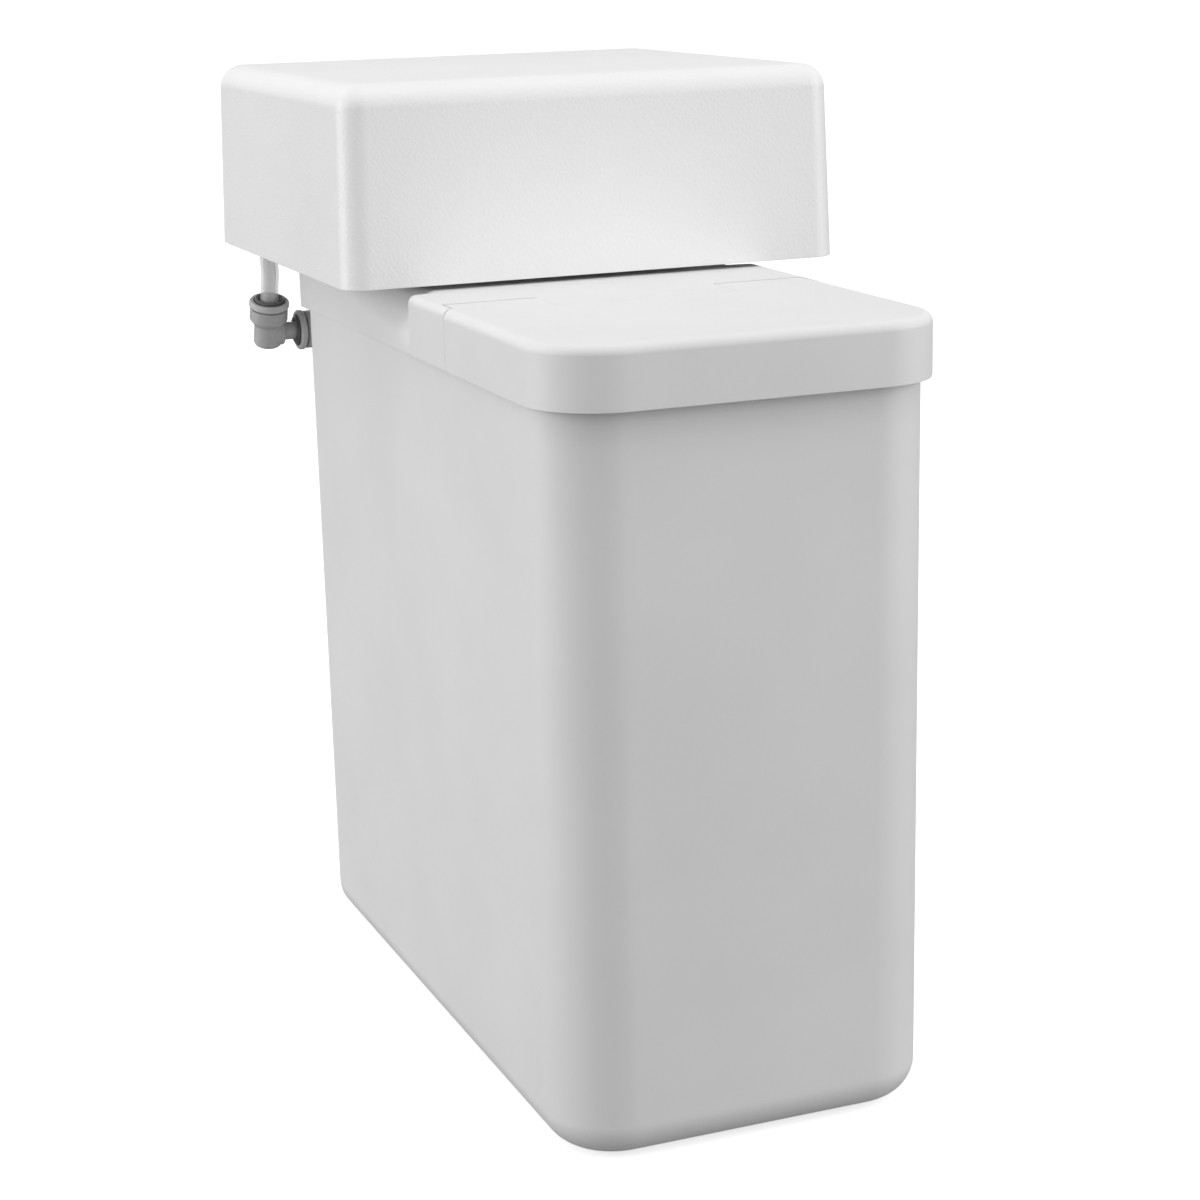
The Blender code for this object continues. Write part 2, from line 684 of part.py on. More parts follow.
# ---------------------------------------------------------------- resin vessels
def make_vessels(natural, white, rubber, grey):
    for side, word in ((-1, "left"), (1, "right")):
        axis = (side * VESSEL_X, VESSEL_Y, 0)
        turned(f"resin_vessel_{word}", vessel_profile(), natural, at=axis)
        clamp_high = DECK_TOP - DECK_WALL - 2 * GAP
        clamp_low = clamp_high - CLAMP_HEIGHT
        collar(f"vessel_clamp_{word}", NECK_RADIUS + GAP, CLAMP_RADIUS, clamp_low, clamp_high, grey, at=axis)
        seal = (SPIGOT_RADIUS + NECK_BORE) / 2
        ring_z = VALVE_Z - SPIGOT_LENGTH / 2
        profile = [
            (seal + SEAL_WIRE * math.cos(angle), ring_z + SEAL_WIRE * math.sin(angle))
            for angle in (math.pi / 2 - 2 * math.pi * i / 6 for i in range(6))
        ]
        turned(f"neck_seal_{word}", profile, rubber, at=axis, ring=True)
        foot = FLOOR_Z + 3 * VESSEL_WALL
        collar(f"riser_tube_{word}", RISER_BORE, RISER_RADIUS, foot + 0.004, VALVE_Z + 0.0085, white, at=axis)
        inside = RISER_RADIUS + 0.0035
        cup = [
            (0, foot + 0.003),
            (inside, foot + 0.003),
            (inside, foot + STRAINER_HEIGHT),
            (STRAINER_RADIUS, foot + STRAINER_HEIGHT),
            (STRAINER_RADIUS, foot),
            (0, foot),
        ]
        turned(f"strainer_{word}", cup, white, at=axis)


def vessel_profile():
    """From the middle of the inner floor, up the inside, over the neck and down the outside."""
    outer, neck = VESSEL_RADIUS, NECK_RADIUS
    inner = outer - VESSEL_WALL
    low = FLOOR_Z
    round_foot = VESSEL_BASE_RADIUS
    shoulder = [
        (
            neck + (outer - neck) * math.sin(angle),
            NECK_LOW - (NECK_LOW - VESSEL_SHOULDER) * (1 - math.cos(angle)),
        )
        for angle in (math.pi / 2 * i / 3 for i in range(1, 4))
    ]
    foot = [
        (outer - round_foot * (1 - math.cos(angle)), low + round_foot * (1 - math.sin(angle)))
        for angle in (math.pi / 2 * i / 3 for i in range(4))
    ]
    inside_shoulder = [
        (NECK_BORE + (inner - NECK_BORE) * (radius - neck) / (outer - neck), height - VESSEL_WALL)
        for radius, height in reversed(shoulder)
    ]
    inside = [(0, low + VESSEL_WALL), (outer - round_foot, low + VESSEL_WALL), (inner, low + round_foot)]
    neck_part = [
        (NECK_BORE, NECK_LOW - VESSEL_WALL),
        (NECK_BORE, NECK_TOP),
        (neck, NECK_TOP),
        (neck, NECK_LOW),
    ]
    return [*inside, *inside_shoulder, *neck_part, *shoulder, *foot, (0, low)]


# ---------------------------------------------------------------- control valve
def screw_places():
    x, y = VALVE_HALF_X - SCREW_INSET, VALVE_HALF_Y - SCREW_INSET
    return [(i * x, VESSEL_Y + j * y) for i in (-1, 1) for j in (-1, 1)]


def make_valve(black, steel):
    body = add_mesh(
        "valve_body",
        rounded_block(
            (-VALVE_HALF_X, VESSEL_Y - VALVE_HALF_Y, VALVE_Z),
            (VALVE_HALF_X, VESSEL_Y + VALVE_HALF_Y, VALVE_TOP),
            front=0.006,
            rear=0.006,
            lip=0.003,
            segments=3,
        ),
        black,
    )
    for side, word in ((-1, "left"), (1, "right")):
        axis = (side * VESSEL_X, VESSEL_Y, 0)
        join(body, rod(f"spigot_{word}", SPIGOT_RADIUS, VALVE_Z - SPIGOT_LENGTH, VALVE_Z + 0.004, at=axis))
        bore_top = VALVE_Z + 0.010
        cut(body, rod(f"riser_bore_{word}", RISER_RADIUS + GAP, VALVE_Z - 0.020, bore_top, at=axis))
        port = (side * VALVE_HALF_X, VESSEL_Y, PORT_Z)
        cut(body, rod(f"port_bore_{word}", PORT_BORE, -0.020, 0.010, at=port, along=(1, 0, 0)))
    socket_at = (BULKHEAD_X, VESSEL_Y + VALVE_HALF_Y, PORT_Z)
    join(body, rod("brine_socket", TUBE_RADIUS + 0.004, -0.005, 0.016, at=socket_at, along=(0, 1, 0)))
    cut(body, rod("brine_socket_bore", TUBE_RADIUS + GAP, 0.004, 0.030, at=socket_at, along=(0, 1, 0)))
    for index, (x, y) in enumerate(screw_places(), 1):
        head_z = VALVE_Z + SCREW_HEAD_Z
        bore = [
            (0, VALVE_TOP + 0.005),
            (SCREW_HEAD_RADIUS + GAP, VALVE_TOP + 0.005),
            (SCREW_HEAD_RADIUS + GAP, head_z - GAP),
            (SCREW_RADIUS + GAP, head_z - GAP),
            (SCREW_RADIUS + GAP, VALVE_Z - 0.005),
            (0, VALVE_Z - 0.005),
        ]
        cut(body, turned(f"valve_screw_bore_{index}", bore, at=(x, y, 0), steps=20))
        make_screw(f"valve_screw_{index}", steel, (x, y, head_z))


def make_screw(name, steel, at):
    """A pan-head screw, its origin under the head."""
    head = SCREW_HEAD_HEIGHT
    length = SCREW_HEAD_Z + SCREW_REACH
    profile = [
        (0, head),
        (0.6 * SCREW_HEAD_RADIUS, 0.9 * head),
        (SCREW_HEAD_RADIUS, 0.4 * head),
        (SCREW_HEAD_RADIUS, 0),
        (SCREW_RADIUS, 0),
        (SCREW_RADIUS, -length),
        (0, -length - SCREW_RADIUS),
    ]
    turned(name, profile, steel, at=at, steps=16)


def make_head(grey, clear):
    """The meter and control head, with its gear case."""
    head = add_mesh(
        "control_head",
        rounded_block(
            (-HEAD_HALF_X, VESSEL_Y - HEAD_HALF_Y, HEAD_Z),
            (HEAD_HALF_X, VESSEL_Y + HEAD_HALF_Y, HEAD_TOP),
            front=0.006,
            rear=0.006,
            segments=3,
        ),
        grey,
    )
    chamber = [
        (0, HEAD_TOP + 0.005),
        (SPINDLE_RADIUS + GAP, HEAD_TOP + 0.005),
        (SPINDLE_RADIUS + GAP, HEAD_Z + TURBINE_HEIGHT + 0.003),
        (TURBINE_RADIUS + 0.0015, HEAD_Z + TURBINE_HEIGHT + 0.003),
        (TURBINE_RADIUS + 0.0015, HEAD_Z - 0.005),
        (0, HEAD_Z - 0.005),
    ]
    cut(head, turned("meter_chamber", chamber, at=(TURBINE_X, VESSEL_Y, 0)))
    for name, x in (("idler_axle", IDLER_X), ("disc_axle", DISC_X)):
        low, high = HEAD_TOP - AXLE_SINK, HEAD_TOP + 0.005
        hole = rod(f"{name}_hole", SPINDLE_RADIUS + GAP, low, high, at=(x, VESSEL_Y, 0), steps=16)
        cut(head, hole)
    case = rounded_block(
        (-HEAD_HALF_X + 0.001, VESSEL_Y - HEAD_HALF_Y + 0.001, HEAD_TOP + GAP),
        (HEAD_HALF_X - 0.001, VESSEL_Y + HEAD_HALF_Y - 0.001, GEAR_CASE_TOP),
        front=0.006,
        rear=0.006,
        lip=0.003,
        segments=3,
    )
    open_side(case, (0, 0, -1))
    give_wall(add_mesh("gear_case", case, clear), GEAR_CASE_WALL)


def make_train(white, acetal, steel):
    """Turbine, pinion, idler and control disc, in mesh at rest."""
    axis = (TURBINE_X, VESSEL_Y)
    low = HEAD_Z + 0.0015
    spindle_high = LAYER_1 + GEAR_THICKNESS + 0.001
    turbine = rod("meter_turbine", SPINDLE_RADIUS, low, spindle_high, white, at=(*axis, 0), steps=16)
    join(turbine, rod("turbine_hub", 0.004, low, low + TURBINE_HEIGHT, at=(*axis, 0), steps=16))
    for index in range(TURBINE_BLADES):
        angle = 2 * math.pi * index / TURBINE_BLADES
        high = low + TURBINE_HEIGHT - 0.001
        bm = rounded_block((0.002, -0.0006, low + 0.001), (TURBINE_RADIUS, 0.0006, high))
        bm.transform(Matrix.Translation((*axis, 0)) @ Matrix.Rotation(angle, 4, "Z"))
        join(turbine, add_mesh(f"turbine_blade_{index + 1}", bm))
    bore = circle_outline(SPINDLE_RADIUS + GAP, 16)
    half_tooth = math.pi / IDLER_TEETH
    plate("meter_pinion", [gear_outline(PINION_TEETH), bore], LAYER_1, GEAR_THICKNESS, axis, acetal)
    idler_at, disc_at = (IDLER_X, VESSEL_Y), (DISC_X, VESSEL_Y)
    big_outline, turn = gear_outline(IDLER_TEETH), math.pi + half_tooth
    lower = plate("idler_gear", [big_outline, bore], LAYER_1, GEAR_THICKNESS, idler_at, acetal, turn)
    upper_low = LAYER_1 + 0.5 * GEAR_THICKNESS
    upper_thickness = LAYER_2 + GEAR_THICKNESS - upper_low
    upper = plate("idler_pinion", [gear_outline(PINION_TEETH), bore], upper_low, upper_thickness, idler_at)
    join(meshed(lower), meshed(upper))
    disc_turn = math.pi + math.pi / DISC_TEETH
    disc_outline = gear_outline(DISC_TEETH)
    plate("control_disc", [disc_outline, bore], LAYER_2, GEAR_THICKNESS, disc_at, acetal, disc_turn)
    for name, x in (("idler_axle", IDLER_X), ("disc_axle", DISC_X)):
        low, high = HEAD_TOP - AXLE_SINK + GAP, LAYER_2 + GEAR_THICKNESS + 0.001
        rod(name, SPINDLE_RADIUS, low, high, steel, at=(x, VESSEL_Y, 0), steps=16)


def make_ports(brass, grey):
    """Water connections: a stub, a union nut and a bend that looks down, each side."""
    for side, word in ((-1, "inlet"), (1, "outlet")):
        along = (side, 0, 0)
        at = (side * VALVE_HALF_X, VESSEL_Y, PORT_Z)
        collar(f"{word}_stub", PORT_BORE, PORT_RADIUS, GAP, PORT_LENGTH, brass, at=at, along=along)
        low, high = PORT_LENGTH - UNION_LENGTH, PORT_LENGTH
        hex_nut(f"{word}_union", PORT_RADIUS + GAP, UNION_RADIUS, low, high, brass, at, along)
        start = VALVE_HALF_X + PORT_LENGTH + GAP
        turn = VALVE_HALF_X + BEND_REACH
        low = COVER_Z + 0.003
        arc = [
            (turn - BEND_TURN * (1 - math.sin(angle)), PORT_Z - BEND_TURN * (1 - math.cos(angle)))
            for angle in (math.pi / 2 * i / 6 for i in range(7))
        ]
        for suffix, radius, extra in (("bend", BEND_RADIUS, 0.0), ("bend_bore", PORT_BORE - 0.0005, 0.006)):
            route = [(start - extra, PORT_Z), *arc, (turn, low - extra)]
            points = [(side * x, VESSEL_Y, z) for x, z in route]
            shape = meshed(pipe(f"{word}_{suffix}", points, radius, grey if suffix == "bend" else None))
            if suffix == "bend":
                bend = shape
        cut(bend, shape)


# ---------------------------------------------------------------- brine line
def upright_direction():
    """The upright fitting's axis, which leans forwards as its tube makes for the valve."""
    lean = math.radians(FITTING_LEAN)
    return Vector((0, -math.sin(lean), math.cos(lean)))


def brine_route():
    """Points of the tube from the valve's socket to the upright fitting."""
    start = Vector((BULKHEAD_X, VESSEL_Y + VALVE_HALF_Y, PORT_Z))
    foot = Vector((FITTING_X, FITTING_Y, FITTING_Z))
    straight = [foot + height * upright_direction() for height in (0.052, 0.036, 0.026, 0.016, 0.007)]
    bend_y = straight[0].y - 0.003
    return smooth_route(
        [
            *[start + Vector((0, step, 0)) for step in (0.006, 0.012, 0.019)],
            start + Vector((-0.003, 0.031, 0.003)),
            start + Vector((-0.016, 0.044, 0.006)),
            Vector((FITTING_X + 0.014, bend_y, PORT_Z + 0.002)),
            *straight,
        ],
        3,
    )


def collet_profile(face):
    """A collet whose flange stands its travel above the socket's face."""
    low = face + COLLET_TRAVEL + GAP
    bore = TUBE_RADIUS + GAP
    return [
        (COLLET_RADIUS, low + COLLET_HEAD),
        (COLLET_RADIUS, low),
        (COLLET_SLEEVE, low),
        (COLLET_SLEEVE, low - COLLET_REACH),
        (bore, low - COLLET_REACH),
        (bore, low + COLLET_HEAD),
    ]


def socket_profile(face, tail):
    """A push-fit socket from its face to its rounded tail: lock-ring seat, body, taper and nose."""
    return [
        (0, face),
        (COLLET_RADIUS, face),
        (COLLET_RADIUS, face - SOCKET_SEAT + GAP),
        (BODY_RADIUS, face - SOCKET_SEAT),
        (BODY_RADIUS, face - SOCKET_BODY),
        (NOSE_RADIUS, face - SOCKET_TAPER),
        (NOSE_RADIUS, tail + NOSE_ROUND),
        (NOSE_RADIUS - 0.3 * NOSE_ROUND, tail + 0.3 * NOSE_ROUND),
        (NOSE_RADIUS - NOSE_ROUND, tail),
        (0, tail),
    ]


def socket_bore(name, face, stop, at, along):
    sleeve = COLLET_SLEEVE + 0.0004
    step = face - COLLET_REACH - 0.0005
    profile = [(0, face + 0.005), (sleeve, face + 0.005), (sleeve, step), (TUBE_RADIUS + GAP, step)]
    return turned(name, [*profile, (TUBE_RADIUS + GAP, stop), (0, stop)], at=at, along=along)


def fill_socket(word, face, at, along, dark_grey, pale_grey):
    """The collet and the lock ring in a socket's mouth."""
    turned(f"{word}_collet", collet_profile(face), dark_grey, at=at, along=along, ring=True)
    low, high = face - SOCKET_SEAT + 0.0005, face - GAP
    collar(f"{word}_lock_ring", COLLET_RADIUS + GAP, LOCK_RADIUS, low, high, pale_grey, at=at, along=along)


def make_stem_fitting(grey, dark_grey, pale_grey):
    """The upright elbow, whose level stem turns in the tank's elbow."""
    at = (FITTING_X, FITTING_Y, FITTING_Z)
    up = upright_direction()
    face = UPRIGHT_FACE
    elbow = turned("stem_elbow", socket_profile(face, -UPRIGHT_TAIL), grey, at=at, along=up)
    stem_end = BULKHEAD_STEP - 0.020
    hub = rod("elbow_hub", NOSE_RADIUS - 0.0004, 0, 0.0085, at=at, along=(1, 0, 0))
    stem = rod("elbow_stem", TUBE_RADIUS, 0.004, stem_end, at=at, along=(1, 0, 0))
    join(elbow, hub, stem)
    cut(elbow, socket_bore("elbow_bore", face, 0.0045, at, up))
    fill_socket("stem", face, at, up, dark_grey, pale_grey)


def make_tank_fitting(grey, dark_grey, pale_grey, rubber):
    """The elbow that enters the tank's rear wall, with its seal and nut."""
    at = (BULKHEAD_X, FITTING_Y, FITTING_Z)
    side, inwards = (-1, 0, 0), (0, -1, 0)
    face = BULKHEAD_STEP - LEVEL_FACE
    wall_y = FITTING_Y - TANK_REAR
    entry = turned("tank_elbow", socket_profile(face, -LEVEL_TAIL), grey, at=at, along=side)
    spigot = rod("tank_spigot", BULKHEAD_RADIUS, 0.002, wall_y + 0.0155, at=at, along=inwards)
    flange_high = wall_y - FLANGE_GAP
    flange_low = flange_high - FLANGE_THICKNESS
    flange = rod("tank_flange", FLANGE_RADIUS, flange_low, flange_high, at=at, along=inwards)
    join(entry, spigot, flange)
    cut(entry, socket_bore("entry_bore", face, face - 0.022, at, side))
    bore = rod("spigot_bore", TUBE_RADIUS + GAP, wall_y + 0.004, wall_y + 0.020, at=at, along=inwards)
    cut(entry, bore)
    fill_socket("entry", face, at, side, dark_grey, pale_grey)
    seal_high = wall_y - GAP
    seal_radius = BULKHEAD_RADIUS + SEAL_STEP
    seal_low = seal_high - SEAL_THICKNESS
    collar("bulkhead_seal", BULKHEAD_RADIUS + GAP, seal_radius, seal_low, seal_high, rubber, at=at, along=inwards)
    inside = wall_y + TANK_WALL
    nut_radius = BULKHEAD_RADIUS + 0.0052
    hex_nut("bulkhead_nut", BULKHEAD_RADIUS + GAP, nut_radius, inside + GAP, inside + 0.008, grey, at, inwards)


def make_pickup(milky, white, grey):
    """The tube inside the tank, with the float that slides on it, in a slotted well."""
    axis = (BULKHEAD_X, WELL_Y, 0)
    turn = TANK_REAR - PICKUP_INSET - WELL_Y
    bend = [
        (BULKHEAD_X, WELL_Y + turn * (1 - math.sin(angle)), FITTING_Z - turn * (1 - math.cos(angle)))
        for angle in (math.pi / 2 * i / 6 for i in range(7))
    ]
    foot = FLOOR_Z + 0.030
    ends = [(BULKHEAD_X, WELL_Y, height) for height in (0.5 * FITTING_Z, foot)]
    points = [(BULKHEAD_X, TANK_REAR - 0.006, FITTING_Z), *bend, *ends]
    pipe("pickup_tube", points, TUBE_RADIUS, milky)
    float_high = FLOAT_LOW + FLOAT_HEIGHT
    collar("brine_float", TUBE_RADIUS + 0.0012, FLOAT_RADIUS, FLOAT_LOW, float_high, white, at=axis)
    collar("float_stop", TUBE_RADIUS + GAP, 0.009, FLOAT_STOP_Z, FLOAT_STOP_Z + 0.004, grey, at=axis)
    check_low = FLOOR_Z + 0.006
    check = [
        (0, foot - 0.002),
        (TUBE_RADIUS + GAP, foot - 0.002),
        (TUBE_RADIUS + GAP, foot + 0.010),
        (0.011, foot + 0.010),
        (0.014, foot + 0.004),
        (0.014, check_low),
        (0, check_low),
    ]
    turned("air_check", check, grey, at=axis)
    well_low = FLOOR_Z + WELL_FOOT
    well = collar("brine_well", WELL_RADIUS - WELL_WALL, WELL_RADIUS, well_low, WELL_TOP, white, at=axis)
    slot = block(
        "well_slot",
        (BULKHEAD_X - 0.030, WELL_Y - 0.004, FLOOR_Z - 0.005),
        (BULKHEAD_X + 0.030, WELL_Y + 0.004, FLOOR_Z + 0.020),
    )
    cut(well, slot)
    cap_low, cap_high = WELL_TOP + GAP, WELL_TOP + 0.0035
    collar("well_cap", TUBE_RADIUS + 0.001, WELL_RADIUS + 0.001, cap_low, cap_high, grey, at=axis)


# ---------------------------------------------------------------- inside the tank
def make_platform(white):
    """The slotted shelf that keeps the salt off the tank's floor."""
    half = TANK_HALF - TANK_WALL - PANEL_FIT
    front = TANK_FRONT + TANK_WALL + PANEL_FIT
    rear = GUARD_Y - 0.003
    top = PLATFORM_Z + PLATFORM_THICKNESS
    shelf = add_mesh(
        "salt_platform",
        rounded_block((-half, front, PLATFORM_Z), (half, rear, top), front=TANK_FRONT_RADIUS - TANK_WALL, segments=5),
        white,
    )
    slots = bmesh.new()
    columns, rows = 4, 7
    for column in range(columns):
        for row in range(rows):
            x = (column - (columns - 1) / 2) * 1.6 * PLATFORM_SLOT[0]
            y = front + (rear - front) * (row + 1) / (rows + 1)
            bmesh.ops.create_cube(
                slots, size=1.0, matrix=Matrix.LocRotScale(Vector((x, y, top)), None, Vector((*PLATFORM_SLOT, 0.020)))
            )
    cut(shelf, add_mesh("platform_slots", slots))
    for index, (x, y) in enumerate(((-1, 0), (1, 0), (-1, 1), (1, 1)), 1):
        at = (x * (half - 0.022), (front + 0.040, rear - 0.015)[y], 0)
        join(shelf, rod(f"platform_leg_{index}", 0.006, FLOOR_Z, PLATFORM_Z + 0.002, at=at, steps=16))


def make_guard(white):
    half = TANK_HALF - TANK_WALL - PANEL_FIT
    low = TANK_BASE_RADIUS + 0.004
    block("vessel_guard", (-half, GUARD_Y, low), (half, GUARD_Y + GUARD_THICKNESS, GUARD_TOP), white)


def make_overflow(grey, rubber):
    at = (OVERFLOW_X, TANK_REAR, OVERFLOW_Z)
    along = (0, 1, 0)
    r = OVERFLOW_RADIUS
    barbs = [(r, 0.028), (r, 0.0265), (r + 0.001, 0.024), (r, 0.022), (r + 0.001, 0.0195), (r, 0.0175)]
    outside = [(r - 0.001, 0.030), *barbs, (r, 0.0042), (0.014, 0.0042), (0.014, 0.0017), (r, 0.0017), (r, -0.014)]
    profile = [*outside, (r - 0.002, -0.014), (r - 0.002, 0.030)]
    turned("overflow_spigot", profile, grey, at=at, along=along, ring=True)
    collar("overflow_seal", r + GAP, 0.0125, GAP, GAP + SEAL_THICKNESS, rubber, at=at, along=along)
    hex_nut("overflow_nut", r + GAP, 0.0155, -0.011, -TANK_WALL - GAP, grey, at, along)


def main():
    clear_scene()
    white = finish("white_polypropylene", 0.45, (0.80, 0.80, 0.80))
    pale = finish("grained_white_abs", 0.55, (0.84, 0.84, 0.84))
    grey = finish("grey_acetal", 0.40, (0.38, 0.38, 0.38))
    pale_grey = finish("pale_grey_acetal", 0.40, (0.52, 0.52, 0.52))
    dark_grey = finish("dark_grey_acetal", 0.45, (0.16, 0.16, 0.17))
    black = finish("black_glass_filled_nylon", 0.50, (0.03, 0.03, 0.03))
    natural = finish("natural_fibreglass", 0.45, (0.55, 0.60, 0.55))
    clear = finish("clear_polycarbonate", 0.15, (0.75, 0.78, 0.80), alpha=0.5)
    milky = finish("natural_polyethylene_tube", 0.30, (0.70, 0.71, 0.70), alpha=0.9)
    rubber = finish("black_rubber", 0.70, (0.02, 0.02, 0.02))
    brass = finish("nickelled_brass", 0.30, (0.70, 0.66, 0.55), metallic=1.0)
    steel = finish("stainless_steel", 0.30, (0.60, 0.60, 0.60), metallic=1.0)
    make_tank(white)
    make_deck(white)
    make_lid(white)
    make_hinge_pins(steel)
    make_cover(pale)
    make_vessels(natural, white, rubber, grey)
    make_valve(black, steel)
    make_head(grey, clear)
    make_train(white, white, steel)
    make_ports(brass, grey)
    pipe("brine_tube", brine_route(), TUBE_RADIUS, milky)
    make_stem_fitting(grey, dark_grey, pale_grey)
    make_tank_fitting(grey, dark_grey, pale_grey, rubber)
    make_pickup(milky, white, grey)
    make_platform(white)
    make_guard(white)
    make_overflow(grey, rubber)


main()
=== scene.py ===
# %% [markdown]
# # A compact block-salt water softener
#
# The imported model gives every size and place. This lesson dresses it: the four big mouldings, the
# push-fit fittings and the brine tube are made again with fine surfaces, and each other piece gets
# its own material. Lengths are in metres, +Z is up and the front of the softener faces -Y.

# %% Load the fixed frame
import json
import math

import bmesh
import bpy
from mathutils import Matrix, Vector


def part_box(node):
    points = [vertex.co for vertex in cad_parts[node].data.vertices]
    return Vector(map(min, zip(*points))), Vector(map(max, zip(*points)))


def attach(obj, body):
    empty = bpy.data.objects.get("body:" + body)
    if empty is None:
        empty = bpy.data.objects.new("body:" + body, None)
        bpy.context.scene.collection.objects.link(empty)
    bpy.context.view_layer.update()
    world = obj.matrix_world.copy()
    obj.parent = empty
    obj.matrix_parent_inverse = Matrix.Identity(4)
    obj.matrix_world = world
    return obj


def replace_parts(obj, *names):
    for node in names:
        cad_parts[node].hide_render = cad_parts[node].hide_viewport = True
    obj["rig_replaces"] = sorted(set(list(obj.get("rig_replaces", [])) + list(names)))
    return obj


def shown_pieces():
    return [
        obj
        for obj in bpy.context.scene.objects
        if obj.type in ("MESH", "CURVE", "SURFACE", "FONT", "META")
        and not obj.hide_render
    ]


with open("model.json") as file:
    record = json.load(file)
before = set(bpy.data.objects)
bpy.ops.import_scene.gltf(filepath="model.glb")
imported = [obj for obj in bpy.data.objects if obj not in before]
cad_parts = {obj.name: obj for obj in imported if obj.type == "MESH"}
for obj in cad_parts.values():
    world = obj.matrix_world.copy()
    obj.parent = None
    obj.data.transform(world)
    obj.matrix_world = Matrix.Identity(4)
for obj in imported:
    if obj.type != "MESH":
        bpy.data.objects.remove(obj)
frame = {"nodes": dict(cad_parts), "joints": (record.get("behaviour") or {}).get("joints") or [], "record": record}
nodes = frame["nodes"]
joints = {joint["name"]: joint for joint in frame["joints"]}
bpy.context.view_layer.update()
MM = 0.001

# %% [markdown]
# ## Camera
#
# A product shot of a tall object is taken from a little above with a long lens, so its upright edges
# stay nearly parallel. The camera stands left of the front and looks down by about 14 degrees, with a
# slight roll. It is made first, because everything after it is judged through it.

# %% Camera
CAMERA_AT = Vector((-0.4911, -1.2442, 0.5649))
CAMERA_YAW = math.radians(21.61)
CAMERA_PITCH = math.radians(14.45)
CAMERA_ROLL = math.radians(-1.34)
CAMERA_LENS_MM = 78.92
SENSOR_MM = 36.0


def aimed_camera(at, yaw, pitch, roll):
    camera = bpy.data.objects.new("camera", bpy.data.cameras.new("camera"))
    forward = Vector((math.sin(yaw) * math.cos(pitch), math.cos(yaw) * math.cos(pitch), -math.sin(pitch)))
    right = Vector((math.cos(yaw), -math.sin(yaw), 0))
    up = right.cross(forward)
    turned_right = math.cos(roll) * right + math.sin(roll) * up
    turned_up = math.cos(roll) * up - math.sin(roll) * right
    axes = Matrix((turned_right, turned_up, -forward)).transposed()
    camera.matrix_world = Matrix.Translation(at) @ axes.to_4x4()
    camera.data.lens = CAMERA_LENS_MM
    camera.data.sensor_width = SENSOR_MM
    bpy.context.scene.collection.objects.link(camera)
    return camera


bpy.context.scene.camera = aimed_camera(CAMERA_AT, CAMERA_YAW, CAMERA_PITCH, CAMERA_ROLL)
print("camera", tuple(round(value, 3) for value in bpy.context.scene.camera.location))

# %% [markdown]
# ## One helper for nodes, one for colour
#
# Shader trees and Geometry Nodes trees are both made of nodes with settings, values and links, so a
# single helper serves both. Colours are written as the sRGB hex values that a paint chip would give,
# and one function turns them into the linear numbers that the renderer works in.


# %% Node and colour helpers
def add_node(tree, kind, inputs=None, **settings):
    """Adds a node, sets its properties, and fills its inputs with values or links."""
    node = tree.nodes.new(kind)
    for name, value in settings.items():
        setattr(node, name, value)
    for socket, value in (inputs or {}).items():
        if isinstance(value, bpy.types.NodeSocket):
            tree.links.new(value, node.inputs[socket])
        else:
            node.inputs[socket].default_value = value
    return node


def linear(hex_color):
    """An sRGB hex colour as linear red, green, blue and alpha."""
    channels = [int(hex_color[i : i + 2], 16) / 255 for i in (1, 3, 5)]
    return (*[c / 12.92 if c <= 0.04045 else ((c + 0.055) / 1.055) ** 2.4 for c in channels], 1.0)


def new_material(name, ior=None, metallic=0.0, **constants):
    """A Principled material with its constant sockets set. Returns the material, tree and shader."""
    material = bpy.data.materials.new(name)
    material.use_nodes = True
    tree = material.node_tree
    shader = tree.nodes["Principled BSDF"]
    shader.inputs["Metallic"].default_value = metallic
    if ior:
        shader.inputs["IOR"].default_value = ior
    for socket, value in constants.items():
        shader.inputs[socket.replace("_", " ")].default_value = value
    return material, tree, shader


def object_coordinates(tree):
    return add_node(tree, "ShaderNodeTexCoord").outputs["Object"]


def per_metre(size_mm):
    """The texture scale whose pattern repeats about every size_mm."""
    return 1.0 / (size_mm * MM)


def clouded(tree, size_mm, detail=3.0):
    """Soft noise in object space with features of about size_mm."""
    inputs = {"Vector": object_coordinates(tree), "Scale": per_metre(size_mm), "Detail": detail}
    return add_node(tree, "ShaderNodeTexNoise", inputs).outputs["Fac"]


def between(tree, factor, low, high):
    """Maps the middle of a noise's range to low ... high."""
    inputs = {"Value": factor, "From Min": 0.3, "From Max": 0.7, "To Min": low, "To Max": high}
    return add_node(tree, "ShaderNodeMapRange", inputs).outputs["Result"]


def two_tones(tree, factor, first, second):
    """Mixes two colours, through the sockets that a colour mix uses."""
    inputs = {0: factor, 6: linear(first), 7: linear(second)}
    return add_node(tree, "ShaderNodeMix", inputs, data_type="RGBA").outputs[2]


def bumped(tree, shader, height, depth_mm, strength=1.0):
    inputs = {"Height": height, "Distance": depth_mm * MM, "Strength": strength}
    tree.links.new(add_node(tree, "ShaderNodeBump", inputs).outputs["Normal"], shader.inputs["Normal"])


# %% [markdown]
# ## White polypropylene
#
# The tank, deck and lid are injection-moulded polypropylene. Its mould is finely etched, so the skin
# is satin: a soft broad highlight, a grit of about half a millimetre, and slow differences in sheen
# where the melt flowed. The tone is a neutral white that is slightly grey.


